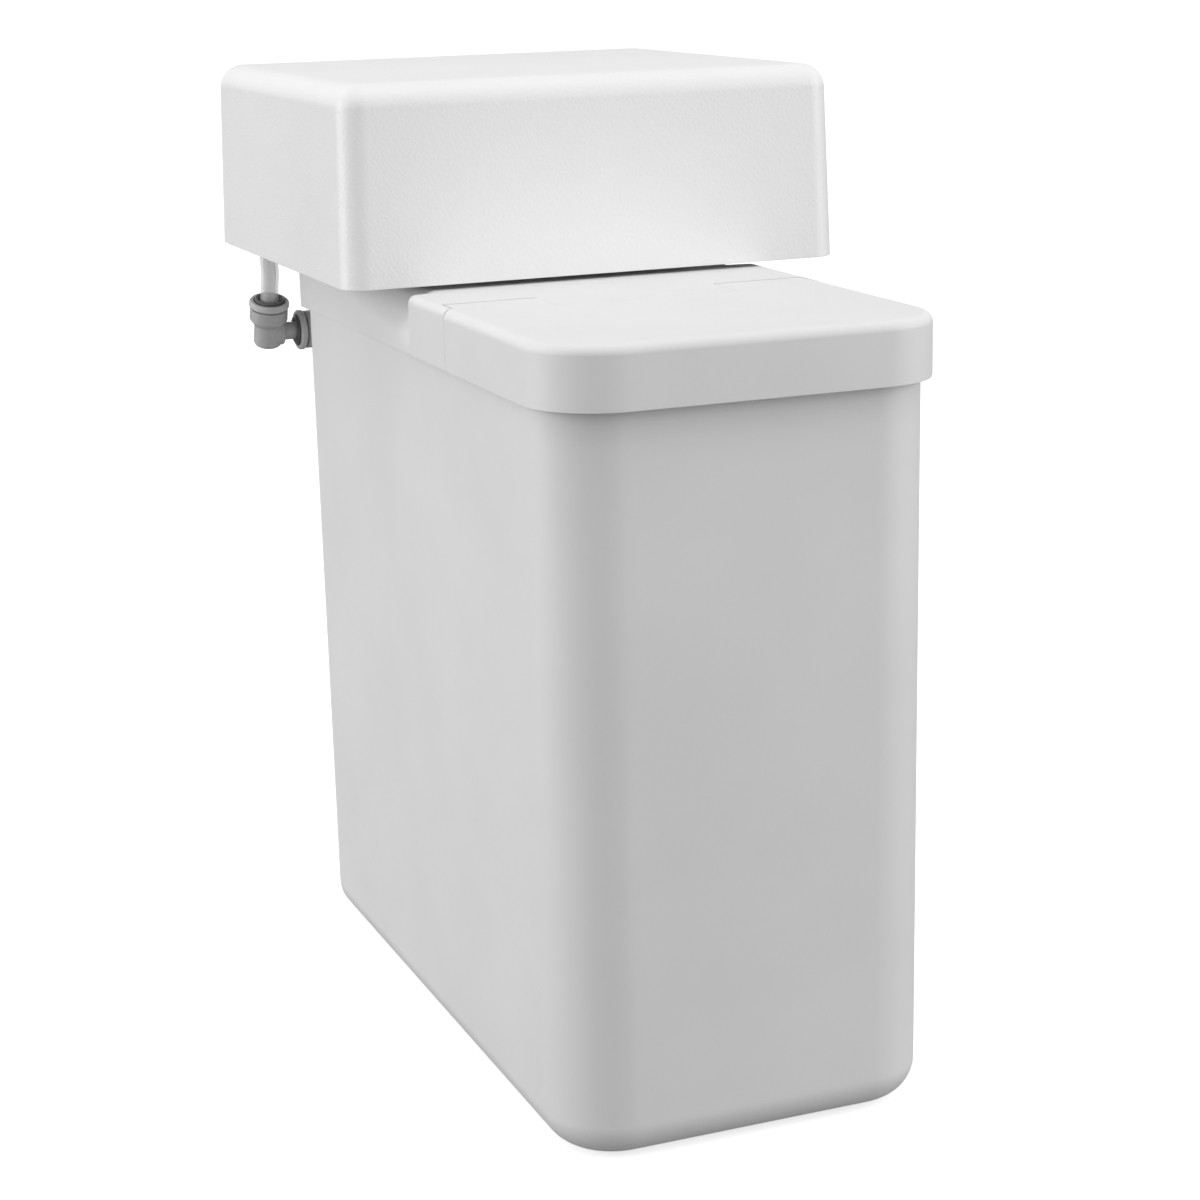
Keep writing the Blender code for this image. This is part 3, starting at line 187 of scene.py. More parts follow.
# %% White polypropylene
def white_polypropylene():
    material, tree, shader = new_material("white_polypropylene", ior=1.49)
    flow = clouded(tree, 70.0, detail=2.0)
    tone = two_tones(tree, between(tree, flow, 0.0, 1.0), "#EAEAEA", "#EEEEEE")
    tree.links.new(tone, shader.inputs["Base Color"])
    tree.links.new(between(tree, clouded(tree, 9.0), 0.44, 0.54), shader.inputs["Roughness"])
    bumped(tree, shader, clouded(tree, 0.5, detail=2.0), 0.02)
    return material


# %% [markdown]
# ## Grained ABS
#
# The cover is a whiter ABS with a leather-like grain cut into its mould: small rounded pebbles about
# a millimetre and a half across with shallow valleys between them. A Voronoi texture's smooth
# distance gives the pebbles, and a noise bends them so that no two look alike.


# %% Grained ABS
def grained_white_abs():
    material, tree, shader = new_material("grained_white_abs", ior=1.53)
    tone = two_tones(tree, between(tree, clouded(tree, 90.0), 0.0, 1.0), "#F5F5F5", "#F8F8F8")
    tree.links.new(tone, shader.inputs["Base Color"])
    warp = add_node(
        tree,
        "ShaderNodeTexNoise",
        {"Vector": object_coordinates(tree), "Scale": per_metre(2.4), "Detail": 1.0},
    )
    shifted = add_node(
        tree,
        "ShaderNodeVectorMath",
        {0: warp.outputs["Color"], 1: (1.2 * MM,) * 3, 2: object_coordinates(tree)},
        operation="MULTIPLY_ADD",
    )
    pebbles = add_node(
        tree,
        "ShaderNodeTexVoronoi",
        {"Vector": shifted.outputs["Vector"], "Scale": per_metre(1.5), "Smoothness": 0.7},
        feature="SMOOTH_F1",
    )
    crown, valley = 0.1, 0.65
    height = add_node(
        tree,
        "ShaderNodeMapRange",
        {
            "Value": pebbles.outputs["Distance"],
            "From Min": crown,
            "From Max": valley,
            "To Min": 1.0,
            "To Max": 0.0,
        },
    )
    tree.links.new(between(tree, clouded(tree, 12.0), 0.35, 0.43), shader.inputs["Roughness"])
    bumped(tree, shader, height.outputs["Result"], 0.09, 0.8)
    return material


# %% [markdown]
# ## Engineering plastics
#
# Push-fit fittings are acetal, a dense plastic with a waxy half-gloss. The valve body is nylon filled
# with chopped glass, which leaves a mottled, slightly rough black skin. Seals are moulded rubber. One
# function serves them, because only tone, gloss, speckle size and grit differ.


# %% Engineering plastics
def moulded(name, tones, ior, roughness, mottle_mm, grit_mm, depth_mm):
    """A moulded material with two close tones, mottled gloss and a fine skin."""
    material, tree, shader = new_material(name, ior=ior)
    mottle = clouded(tree, mottle_mm)
    tree.links.new(two_tones(tree, between(tree, mottle, 0.0, 1.0), *tones), shader.inputs["Base Color"])
    tree.links.new(between(tree, mottle, *roughness), shader.inputs["Roughness"])
    bumped(tree, shader, clouded(tree, grit_mm), depth_mm)
    return material


# %% [markdown]
# ## Metals, fibreglass, clear cover and brine tube
#
# Stainless screws and pins carry fine turning marks, so their roughness varies in thin bands. The
# ports are brass with a bright nickel plate. The resin vessels are wound with glass thread, which
# shows as crossing helical bands under the resin. The gear case is clear polycarbonate, and the
# brine tube is natural polyethylene: milky, partly see-through and a little glossy.


# %% Metals, fibreglass, clear cover and brine tube
def bright_metal(name, tones, roughness, mark_mm):
    material, tree, shader = new_material(name, metallic=1.0)
    stretch = add_node(
        tree, "ShaderNodeMapping", {"Vector": object_coordinates(tree), "Scale": (0.15, 0.15, 1.0)}
    )
    marks = add_node(
        tree,
        "ShaderNodeTexNoise",
        {"Vector": stretch.outputs["Vector"], "Scale": per_metre(mark_mm), "Detail": 4.0},
    )
    tree.links.new(two_tones(tree, clouded(tree, 6.0), *tones), shader.inputs["Base Color"])
    tree.links.new(between(tree, marks.outputs["Fac"], *roughness), shader.inputs["Roughness"])
    bumped(tree, shader, marks.outputs["Fac"], 0.01)
    return material


def wound_fibreglass():
    """Two sets of slanting bands, added where the threads cross."""
    material, tree, shader = new_material("natural_fibreglass", ior=1.52)
    place = object_coordinates(tree)
    bands = [
        add_node(
            tree,
            "ShaderNodeTexWave",
            {
                "Vector": add_node(
                    tree, "ShaderNodeMapping", {"Vector": place, "Rotation": (tilt, 0.4 * tilt, 0)}
                ).outputs["Vector"],
                "Scale": per_metre(8.0),
                "Distortion": 0.6,
            },
            bands_direction="Z",
        ).outputs["Fac"]
        for tilt in (0.9, -0.9)
    ]
    crossed = add_node(tree, "ShaderNodeMath", {0: bands[0], 1: bands[1]}, operation="ADD")
    half = add_node(tree, "ShaderNodeMath", {0: crossed.outputs[0], 1: 0.5}, operation="MULTIPLY").outputs[0]
    tree.links.new(two_tones(tree, half, "#AEB7AC", "#C9CFC4"), shader.inputs["Base Color"])
    tree.links.new(between(tree, half, 0.25, 0.45), shader.inputs["Roughness"])
    bumped(tree, shader, half, 0.15)
    return material


def clear_polycarbonate():
    material, tree, shader = new_material("clear_polycarbonate", ior=1.585, Transmission_Weight=0.92)
    tree.links.new(two_tones(tree, clouded(tree, 20.0), "#E9EEF2", "#F4F7F8"), shader.inputs["Base Color"])
    tree.links.new(between(tree, clouded(tree, 6.0), 0.05, 0.12), shader.inputs["Roughness"])
    return material


def natural_polyethylene():
    material, tree, shader = new_material("natural_polyethylene_tube", ior=1.51, Alpha=0.42)
    tree.links.new(two_tones(tree, clouded(tree, 5.0), "#EDEDED", "#F3F3F3"), shader.inputs["Base Color"])
    tree.links.new(between(tree, clouded(tree, 1.5), 0.28, 0.4), shader.inputs["Roughness"])
    return material


# %% All materials by their slot
MATERIALS = {
    "white_polypropylene": white_polypropylene(),
    "grained_white_abs": grained_white_abs(),
    "natural_fibreglass": wound_fibreglass(),
    "black_rubber": moulded("black_rubber", ("#161616", "#202020"), 1.52, (0.62, 0.8), 3.0, 0.3, 0.02),
    "black_glass_filled_nylon": moulded(
        "black_glass_filled_nylon", ("#1B1B1C", "#2B2B2C"), 1.53, (0.36, 0.55), 1.2, 0.25, 0.03
    ),
    "stainless_steel": bright_metal("stainless_steel", ("#B9B9B7", "#CFCFCC"), (0.22, 0.38), 0.25),
    "nickelled_brass": bright_metal("nickelled_brass", ("#CFC7AE", "#DAD4C2"), (0.16, 0.28), 0.5),
    "clear_polycarbonate": clear_polycarbonate(),
    "natural_polyethylene_tube": natural_polyethylene(),
    "dark_grey_acetal": moulded(
        "dark_grey_acetal", ("#5E5E5F", "#68686A"), 1.48, (0.34, 0.46), 2.0, 0.3, 0.015
    ),
    "pale_grey_acetal": moulded(
        "pale_grey_acetal", ("#C6C6C6", "#D0D0D0"), 1.48, (0.3, 0.42), 2.0, 0.3, 0.015
    ),
    "grey_acetal": moulded("grey_acetal", ("#B4B4B4", "#BEBEBE"), 1.48, (0.32, 0.44), 2.5, 0.3, 0.015),
    "white_acetal": moulded("white_acetal", ("#E2E2DE", "#ECECE8"), 1.48, (0.3, 0.42), 2.5, 0.3, 0.012),
}
print(len(MATERIALS), "materials")

# %% [markdown]
# ## Mesh helpers
#
# A moulding with round corners is a stack of outlines, one above the other, joined by quads. The same
# loft makes an outer skin, the rolled rim and the inner wall in one closed surface. Turned pieces are
# the same idea with circles. Weighted normals keep the flat walls flat next to their round corners.

# %% Mesh helpers
CREASE = math.radians(38)
CORNER_STEPS = 14


def mesh_object(name, bm):
    mesh = bpy.data.meshes.new(name)
    bm.to_mesh(mesh)
    bm.free()
    obj = bpy.data.objects.new(name, mesh)
    bpy.context.scene.collection.objects.link(obj)
    return obj


def bridge(bm, low, high):
    """Quads between two closed rows of the same count."""
    for i in range(len(low)):
        j = (i + 1) % len(low)
        bm.faces.new((low[i], low[j], high[j], high[i]))


def lofted(name, rings):
    """Quads between outlines that run anticlockwise from above, with both ends capped."""
    bm = bmesh.new()
    rows = [[bm.verts.new(point) for point in ring] for ring in rings]
    for low, high in zip(rows, rows[1:]):
        bridge(bm, low, high)
    bm.faces.new(reversed(rows[0]))
    bm.faces.new(rows[-1])
    return mesh_object(name, bm)


def arc(center, radius, start, end, steps):
    """Points of a circular arc, both ends included, in degrees."""
    angles = [math.radians(start + (end - start) * i / steps) for i in range(steps + 1)]
    return [(center[0] + radius * math.cos(a), center[1] + radius * math.sin(a)) for a in angles]


def rounded_outline(x0, x1, y0, y1, front, rear, z):
    """A rectangle with round corners, anticlockwise from its front right corner."""
    return [
        (x, y, z)
        for center, radius, start in (
            ((x1 - front, y0 + front), front, -90),
            ((x1 - rear, y1 - rear), rear, 0),
            ((x0 + rear, y1 - rear), rear, 90),
            ((x0 + front, y0 + front), front, 180),
        )
        for x, y in arc(center, radius, start, start + 90, CORNER_STEPS)
    ]


def quarter(radius, steps, turning_in=True):
    """(inset, rise) pairs round a quarter circle, from upright to level or the other way."""
    angles = [math.pi / 2 * i / steps for i in range(steps + 1)]
    pairs = [(radius * (1 - math.cos(a)), radius * math.sin(a)) for a in angles]
    return pairs if turning_in else [(inset, radius - rise) for inset, rise in reversed(pairs)]


def applied(obj):
    """The object with its modifiers turned into plain mesh."""
    bpy.context.view_layer.update()
    graph = bpy.context.evaluated_depsgraph_get()
    mesh = bpy.data.meshes.new_from_object(obj.evaluated_get(graph))
    obj.modifiers.clear()
    obj.data = mesh
    return obj


def combined(obj, operation, *others):
    """Cuts or joins closed meshes, then removes the tools."""
    for other in others:
        modifier = obj.modifiers.new(operation.lower(), "BOOLEAN")
        modifier.operation = operation
        modifier.object = other
    applied(obj)
    for other in others:
        bpy.data.objects.remove(other)
    return obj


def dressed(obj, body, slot, *replaced):
    """Gives a finished mesh its material, smooth shading and body."""
    obj.data.materials.clear()
    obj.data.materials.append(MATERIALS[slot])
    obj.data.shade_smooth()
    obj.data.set_sharp_from_angle(angle=CREASE)
    normals = obj.modifiers.new("flat walls stay flat", "WEIGHTED_NORMAL")
    normals.keep_sharp = True
    normals.weight = 100
    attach(obj, body)
    if replaced:
        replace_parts(obj, *replaced)
    print(f"{obj.name}: {len(obj.data.polygons)} faces on {body}")
    return obj


def boxed(name, lo, hi):
    bm = bmesh.new()
    lo, hi = Vector(lo), Vector(hi)
    bmesh.ops.create_cube(bm, size=1.0, matrix=Matrix.LocRotScale((lo + hi) / 2, None, hi - lo))
    return mesh_object(name, bm)


def lathed(name, profile, at, along=(0, 0, 1), steps=64, ring=False):
    """Turns (radius, height) points, given from the foot up the outer side, about an axis through at."""
    turn = Vector((0, 0, 1)).rotation_difference(Vector(along)).to_matrix().to_4x4()
    place = Matrix.Translation(at) @ turn
    bm = bmesh.new()
    rows = [
        [bm.verts.new(place @ Vector((r * math.cos(a), r * math.sin(a), h))) for a in circle(steps)]
        for r, h in profile
    ]
    for low, high in list(zip(rows, rows[1:])) + ([(rows[-1], rows[0])] if ring else []):
        bridge(bm, low, high)
    bmesh.ops.remove_doubles(bm, verts=bm.verts, dist=1e-7)
    bmesh.ops.dissolve_degenerate(bm, edges=bm.edges, dist=1e-8)
    bmesh.ops.recalc_face_normals(bm, faces=bm.faces)
    return mesh_object(name, bm)


def circle(steps):
    return [2 * math.pi * i / steps for i in range(steps)]


# %% [markdown]
# ## The brine tank
#
# The tank is one deep moulding: upright corners of a large radius, a smaller roll where the walls
# meet the floor, and a slight draft so that it leaves its mould. Its outer skin, rounded rim, inner
# wall and inner floor are one loft. The two pipe holes in the rear wall are cut afterwards.

# %% The brine tank
TANK_WALL = 3.0 * MM
TANK_DRAFT = 0.8 * MM
TANK_FRONT_RADIUS = 35 * MM
TANK_REAR_RADIUS = 20 * MM
TANK_BASE_RADIUS = 18 * MM
ROLL_STEPS = 12
RIM_STEPS = 4
SEAL_MARGIN = 2.8 * MM  # a pipe's hole is smaller than its seal by this much all round
PIPE_CUT = 8 * MM
HOLE_STEPS = 48

tank_lo, tank_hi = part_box("brine_tank")


def tank_ring(inset, z):
    """The tank's outline at a height, moved in by inset and by the draft."""
    inward = inset + TANK_DRAFT * (1 - (z - tank_lo.z) / (tank_hi.z - tank_lo.z))
    return rounded_outline(
        tank_lo.x + inward,
        tank_hi.x - inward,
        tank_lo.y + inward,
        tank_hi.y - inward,
        TANK_FRONT_RADIUS - inset,
        TANK_REAR_RADIUS - inset,
        z,
    )


def tank_rings():
    rim = TANK_WALL / 2
    outer_roll = quarter(TANK_BASE_RADIUS, ROLL_STEPS, False)
    inner_roll = quarter(TANK_BASE_RADIUS - TANK_WALL, ROLL_STEPS, False)
    rim_turn = quarter(rim, RIM_STEPS)
    outside = [tank_ring(inset, tank_lo.z + rise) for inset, rise in outer_roll]
    over = [tank_ring(inset, tank_hi.z - rim + rise) for inset, rise in rim_turn]
    back = [tank_ring(TANK_WALL - inset, tank_hi.z - rim + rise) for inset, rise in reversed(rim_turn[:-1])]
    inside = [
        tank_ring(TANK_WALL + inset, tank_lo.z + TANK_WALL + rise) for inset, rise in reversed(inner_roll)
    ]
    return outside + over + back + inside


tank = lofted("tank_moulding", tank_rings())
for fitting in ("bulkhead_seal", "overflow_seal"):
    seal_lo, seal_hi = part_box(fitting)
    middle = (seal_lo + seal_hi) / 2
    radius = (seal_hi.x - seal_lo.x) / 2 - SEAL_MARGIN
    hole = [(0, -PIPE_CUT), (radius, -PIPE_CUT), (radius, PIPE_CUT), (0, PIPE_CUT)]
    combined(tank, "DIFFERENCE", lathed("pipe_hole", hole, middle, (0, 1, 0), steps=HOLE_STEPS))
dressed(tank, "base", "white_polypropylene", "brine_tank")

# %% [markdown]
# ## The deck
#
# The deck closes the rear of the tank. Its front shows as a strip before the cover, and behind the
# strip a scoop in each side leaves room for fingertips under the cover. The right scoop starts
# further back. A scoop is a rule, so each side is a row of stations along the edge, every one moved
# inwards by a smooth depth function.

# %% The deck
DECK_WALL = 2.2 * MM
DECK_REAR_RADIUS = 12 * MM
DECK_LIP = 4 * MM
HOLD_HEIGHT = 24 * MM
HOLD_DEPTH = 14 * MM
HOLD_REAR_DEPTH = 1.3 * MM
HOLD_ENTRY = 3.2 * MM
HOLD_BLEND = 2.0 * MM
HOLD_RIGHT_SETBACK = 22 * MM
STRIP_LAP = 9.3 * MM
EDGE_ROUND = 0.5 * MM
PAST = 10 * MM  # how far a cutting shape reaches past what it cuts
NECK_RADIUS = 29.6 * MM

deck_lo, deck_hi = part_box("tank_deck")
cover_lo, cover_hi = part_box("valve_cover")
lid_lo, lid_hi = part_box("salt_lid")
hinge = Vector(joints["lid_hinge"]["pos_m"])
DECK_TOP = deck_hi.z
HINGE_SETBACK = 9 * MM
HINGE_NOTCH_REAR = 6.4 * MM
ARM_REACH = 5.2 * MM
HINGE_NOTCH_DEPTH = 16 * MM
DECK_FRONT = hinge.y - HINGE_SETBACK
HOLD_FRONT = cover_lo.y - STRIP_LAP
HOLD_FRONTS = {-1: HOLD_FRONT, 1: HOLD_FRONT + HOLD_RIGHT_SETBACK}
TONGUE_HALF = 47 * MM
TONGUE_FRONT = deck_lo.y
FREE = 0.8 * MM
SEAM = 0.22 * MM


def hold_depth(side, y, z):
    """How far the hand-hold scoop moves the deck's side inwards at a place."""
    front = HOLD_FRONTS[side]
    along = (y - front) / (deck_hi.y - front)
    plane = HOLD_DEPTH * (z - DECK_TOP + HOLD_HEIGHT) / HOLD_HEIGHT
    plane -= (HOLD_DEPTH - HOLD_REAR_DEPTH) * along
    smooth = 0.5 * (plane + math.sqrt(plane**2 + HOLD_BLEND**2)) - 0.1 * HOLD_BLEND
    entry = min(1.0, max(0.0, (y - front) / HOLD_ENTRY))
    return max(0.0, smooth) * entry * entry * (3 - 2 * entry)


def side_stations(front, rear, hold_front):
    """Places along a side, close together where the scoop begins and wider apart behind it."""
    before_count, fine_count, after_count, spread = 6, 12, 18, 1.4
    before = [front + (hold_front - front) * i / before_count for i in range(before_count)]
    fine = [hold_front + HOLD_ENTRY * i / fine_count for i in range(fine_count + 1)]
    after = [fine[-1] + (rear - fine[-1]) * (i / after_count) ** spread for i in range(1, after_count)]
    return before + fine + after


def deck_ring(inset, z, front, radius, shrink=0.0):
    """The deck's outline at a height: straight at its front, scooped at its sides."""
    x0, x1, y1 = deck_lo.x + shrink + inset, deck_hi.x - shrink - inset, deck_hi.y - shrink - inset
    corner = max(radius - inset, 0.6 * MM)
    turn_y = y1 - corner
    right = [(x1 - hold_depth(1, y, z), y) for y in side_stations(front, turn_y, HOLD_FRONTS[1])]
    left = [(x0 + hold_depth(-1, y, z), y) for y in side_stations(front, turn_y, HOLD_FRONTS[-1])]
    rear = arc((x1 - corner, turn_y), corner, 0, 90, 8) + arc((x0 + corner, turn_y), corner, 90, 180, 8)
    turns = []
    for x, y in rear:
        side = 1 if x > 0 else -1
        turns.append((x - side * hold_depth(side, y, z) * (1 - (y - turn_y) / corner), y))
    return [(x, y, z) for x, y in [*right, *turns, *reversed(left)]]


def deck_solid(name, low, top, front, radius, lip, shrink=0.0, foot=0.0):
    """The deck, or its hollow, from its rounded foot up to the soft edge round its top."""
    levels = 20
    straight = [(0.0, low + foot + (top - lip - low - foot) * i / levels) for i in range(1, levels)]
    stack = [(inset, low + rise) for inset, rise in quarter(foot, 2, False)] + straight
    stack += [(inset, top - lip + rise) for inset, rise in quarter(lip, 8)]
    return lofted(name, [deck_ring(inset, z, front, radius, shrink) for inset, z in stack])


deck = deck_solid(
    "deck_moulding", deck_lo.z, DECK_TOP, DECK_FRONT, DECK_REAR_RADIUS, DECK_LIP, foot=EDGE_ROUND
)
hollow = deck_solid(
    "deck_hollow",
    deck_lo.z - PAST,
    DECK_TOP - DECK_WALL,
    DECK_FRONT - PAST,
    DECK_REAR_RADIUS - DECK_WALL,
    DECK_LIP - DECK_WALL,
    shrink=DECK_WALL,
    foot=EDGE_ROUND,
)
combined(deck, "DIFFERENCE", hollow)
tongue = boxed(
    "deck_tongue",
    (-TONGUE_HALF, TONGUE_FRONT, 2 * hinge.z - DECK_TOP),
    (TONGUE_HALF, hinge.y + PAST, DECK_TOP),
)
combined(deck, "UNION", tongue)
ARM_INSET = 5.1 * MM
HINGE_ARM_OUTER = deck_hi.x - ARM_INSET
for side in (-1, 1):
    ends = sorted((side * TONGUE_HALF, side * (HINGE_ARM_OUTER + FREE)))
    notch = boxed(
        "hinge_notch",
        (ends[0], DECK_FRONT - 2 * PAST, DECK_TOP - HINGE_NOTCH_DEPTH),
        (ends[1], hinge.y + HINGE_NOTCH_REAR, DECK_TOP + PAST),
    )
    combined(deck, "DIFFERENCE", notch)
for side in ("left", "right"):
    clamp_lo, clamp_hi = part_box(f"vessel_clamp_{side}")
    middle = (clamp_lo + clamp_hi) / 2
    neck = [(0, -2 * PAST), (NECK_RADIUS, -2 * PAST), (NECK_RADIUS, 2 * PAST), (0, 2 * PAST)]
    combined(deck, "DIFFERENCE", lathed("neck_hole", neck, middle, steps=HOLE_STEPS))
dressed(deck, "base", "white_polypropylene", "tank_deck")

# %% [markdown]
# ## The salt lid
#
# The lid carries the deck's line forwards: the same skirt, a larger radius at the front corners and
# a soft edge round the top. Its rear is cut round the deck's tongue, and an arm on each side reaches
# back to the hinge. The arms are round under the hinge axis, so that they clear the deck as they
# turn, and square at the top, so that only a thin line shows behind them when the lid is shut.

# %% The salt lid
LID_WALL = 2.4 * MM
LID_FRONT_RADIUS = 37 * MM
LID_LIP = 5 * MM
LID_REAR = DECK_FRONT - SEAM
LID_NOTCH_DEPTH = 15 * MM
ARM_EDGE = 0.8 * MM


def lid_ring(inset, z, rear, shrink=0.0):
    """The lid's outline at a height: straight at its rear."""
    x0, x1, y0 = lid_lo.x + shrink + inset, lid_hi.x - shrink - inset, lid_lo.y + shrink + inset
    corner = LID_FRONT_RADIUS - shrink - inset
    front_left = arc((x0 + corner, y0 + corner), corner, 180, 270, 2 * CORNER_STEPS)
    front_right = arc((x1 - corner, y0 + corner), corner, 270, 360, 2 * CORNER_STEPS)
    return [(x, y, z) for x, y in [(x0, rear), *front_left, *front_right, (x1, rear)]]


def lid_solid(name, low, top, rear, lip, shrink=0.0, foot=0.0):
    """The lid, or its hollow, from its rounded foot up to the soft edge round its top."""
    rings = [lid_ring(inset, low + rise, rear, shrink) for inset, rise in quarter(foot, 2, False)]
    rings += [lid_ring(inset, top - lip + rise, rear, shrink) for inset, rise in quarter(lip, 10)]
    return lofted(name, rings)


lid = lid_solid("lid_moulding", lid_lo.z, lid_hi.z, LID_REAR, LID_LIP, foot=EDGE_ROUND)
hollow = lid_solid(
    "lid_hollow",
    lid_lo.z - PAST,
    lid_hi.z - LID_WALL,
    LID_REAR + PAST,
    LID_LIP - LID_WALL,
    shrink=LID_WALL,
    foot=EDGE_ROUND,
)
notch = boxed(
    "lid_notch",
    (-TONGUE_HALF - SEAM, TONGUE_FRONT - SEAM, lid_hi.z - LID_NOTCH_DEPTH),
    (TONGUE_HALF + SEAM, LID_REAR + PAST, lid_hi.z + PAST),
)
combined(lid, "DIFFERENCE", hollow, notch)


def hinge_arm(side):
    """A flat arm, round under the hinge axis and square with a soft edge at its top."""
    inner, outer = TONGUE_HALF + SEAM, HINGE_ARM_OUTER
    radius = lid_hi.z - hinge.z
    end = arc((hinge.y, hinge.z), radius, -90, -10, 14)
    end += arc((hinge.y + ARM_REACH - ARM_EDGE, lid_hi.z - ARM_EDGE), ARM_EDGE, 0, 90, 6)
    outline = [(TONGUE_FRONT, hinge.z - radius), *end, (TONGUE_FRONT, hinge.z + radius)]
    xs = sorted((side * inner, side * outer))
    arm = lofted("hinge_arm", [[(x, y, z) for y, z in outline] for x in xs])
    bm = bmesh.new()
    bm.from_mesh(arm.data)
    bmesh.ops.recalc_face_normals(bm, faces=bm.faces)
    bm.to_mesh(arm.data)
    bm.free()
    return arm


combined(lid, "UNION", hinge_arm(-1), hinge_arm(1))
dressed(lid, "lid", "white_polypropylene", "salt_lid")

# %% [markdown]
# ## Ribs under the lid
#
# A wide flat lid is stiffened by a lattice of thin ribs on its underside, which shows when it opens.
# A lattice is a plain repeat, so Geometry Nodes place it: a line of points for each direction, a thin
# box on each point, and Realize Instances at the end so that it exports as mesh.

# %% Geometry Nodes helpers
def new_tree(name, sockets):
    """A Geometry Nodes tree with named inputs. Returns the tree, its inputs and its output node."""
    tree = bpy.data.node_groups.new(name, "GeometryNodeTree")
    tree.interface.new_socket("Geometry", in_out="INPUT", socket_type="NodeSocketGeometry")
    for label, kind in sockets.items():
        tree.interface.new_socket(label, in_out="INPUT", socket_type="NodeSocket" + kind)
    tree.interface.new_socket("Geometry", in_out="OUTPUT", socket_type="NodeSocketGeometry")
    return tree, add_node(tree, "NodeGroupInput").outputs, add_node(tree, "NodeGroupOutput")


def finished_by(tree, output, geometry, material):
    """Realizes what the tree made, sets its material and joins it to the output."""
    real = add_node(tree, "GeometryNodeRealizeInstances", {"Geometry": geometry})
    shown = add_node(
        tree, "GeometryNodeSetMaterial", {"Geometry": real.outputs["Geometry"], "Material": material}
    )
    tree.links.new(shown.outputs["Geometry"], output.inputs["Geometry"])


def run_tree(name, tree, values, base=None):
    """Evaluates the tree once on base, or on nothing, and keeps the result as plain mesh."""
    source = bpy.data.objects.new(name + "_source", base or bpy.data.meshes.new(name))
    bpy.context.scene.collection.objects.link(source)
    modifier = source.modifiers.new("build", "NODES")
    modifier.node_group = tree
    for item in tree.interface.items_tree:
        if item.in_out == "INPUT" and item.name in values:
            modifier[item.identifier] = values[item.name]
    bpy.context.view_layer.update()
    graph = bpy.context.evaluated_depsgraph_get()
    mesh = bpy.data.meshes.new_from_object(source.evaluated_get(graph))
    bpy.data.objects.remove(source)
    made = bpy.data.objects.new(name, mesh)
    bpy.context.scene.collection.objects.link(made)
    return made


# %% Ribs under the lid
RIB_THICK = 1.4 * MM
RIB_DEPTH = 5.5 * MM
RIB_MARGIN = 12 * MM
RIB_REAR_ROOM = 6 * MM
RIB_SINK = 0.2 * MM  # how far the ribs run into the lid's underside
LONG_RIBS, CROSS_RIBS = 4, 3


def rib_tree(material):
    """Two crossing rows of thin boxes, each row spread along its own line of points."""
    sockets = {f"{way} {what}": "Vector" for way in ("Long", "Cross") for what in ("size", "start", "step")}
    sockets |= {"Long count": "Int", "Cross count": "Int"}
    tree, inputs, output = new_tree("lid_ribs", sockets)
    joined = add_node(tree, "GeometryNodeJoinGeometry")
    for way in ("Long", "Cross"):
        spread = {
            "Count": inputs[f"{way} count"],
            "Start Location": inputs[f"{way} start"],
            "Offset": inputs[f"{way} step"],
        }
        line = add_node(tree, "GeometryNodeMeshLine", spread)
        rib = add_node(tree, "GeometryNodeMeshCube", {"Size": inputs[f"{way} size"]})
        placed = add_node(
            tree,
            "GeometryNodeInstanceOnPoints",
            {"Points": line.outputs["Mesh"], "Instance": rib.outputs["Mesh"]},
        )
        tree.links.new(placed.outputs["Instances"], joined.inputs["Geometry"])
    finished_by(tree, output, joined.outputs["Geometry"], material)
    return tree


def lid_ribs():
    """The lattice, inside the lid's walls and in front of the deck's tongue."""
    wall = LID_WALL + RIB_SINK
    x0, x1 = lid_lo.x + wall, lid_hi.x - wall
    y0, y1 = lid_lo.y + wall, TONGUE_FRONT - RIB_REAR_ROOM
    z = lid_hi.z - LID_WALL - RIB_DEPTH / 2 + RIB_SINK
    long_step = (x1 - x0) / (LONG_RIBS + 1)
    cross_step = (y1 - y0) / (CROSS_RIBS + 1)
    values = {
        "Long count": LONG_RIBS,
        "Long size": (RIB_THICK, y1 - y0 - 2 * RIB_MARGIN, RIB_DEPTH),
        "Long start": (x0 + long_step, (y0 + y1) / 2, z),
        "Long step": (long_step, 0, 0),
        "Cross count": CROSS_RIBS,
        "Cross size": (x1 - x0 - 2 * RIB_MARGIN, RIB_THICK, RIB_DEPTH),
        "Cross start": ((x0 + x1) / 2, y0 + cross_step, z),
        "Cross step": (0, cross_step, 0),
    }
    return run_tree("lid_ribs", rib_tree(MATERIALS["white_polypropylene"]), values)


dressed(lid_ribs(), "lid", "white_polypropylene")

# %% [markdown]
# ## The valve cover
#
# The cover is a wide box, open below, that lifts off the valve. Its walls lean in slightly, every
# upright and top edge is round, and its lower edge is crisp. The loft starts at the inner ceiling,
# comes down the inner wall, turns over the lower edge and climbs the outside to the top.

# %% The valve cover
COVER_WALL = 2.5 * MM
COVER_DRAFT = 2.6 * MM
COVER_CORNER = 13 * MM
COVER_LIP = 12 * MM
COVER_FOOT = 0.35 * MM


def cover_ring(inset, z, wall=0.0):
    """The cover's outline at a height, moved in by inset, by the wall and by the draft."""
    lean = COVER_DRAFT * (z - cover_lo.z) / (cover_hi.z - cover_lo.z)
    inward = inset + wall + lean
    corner = max(COVER_CORNER - wall - inset, 0.5 * MM)
    return rounded_outline(
        cover_lo.x + inward, cover_hi.x - inward, cover_lo.y + inward, cover_hi.y - inward, corner, corner, z
    )


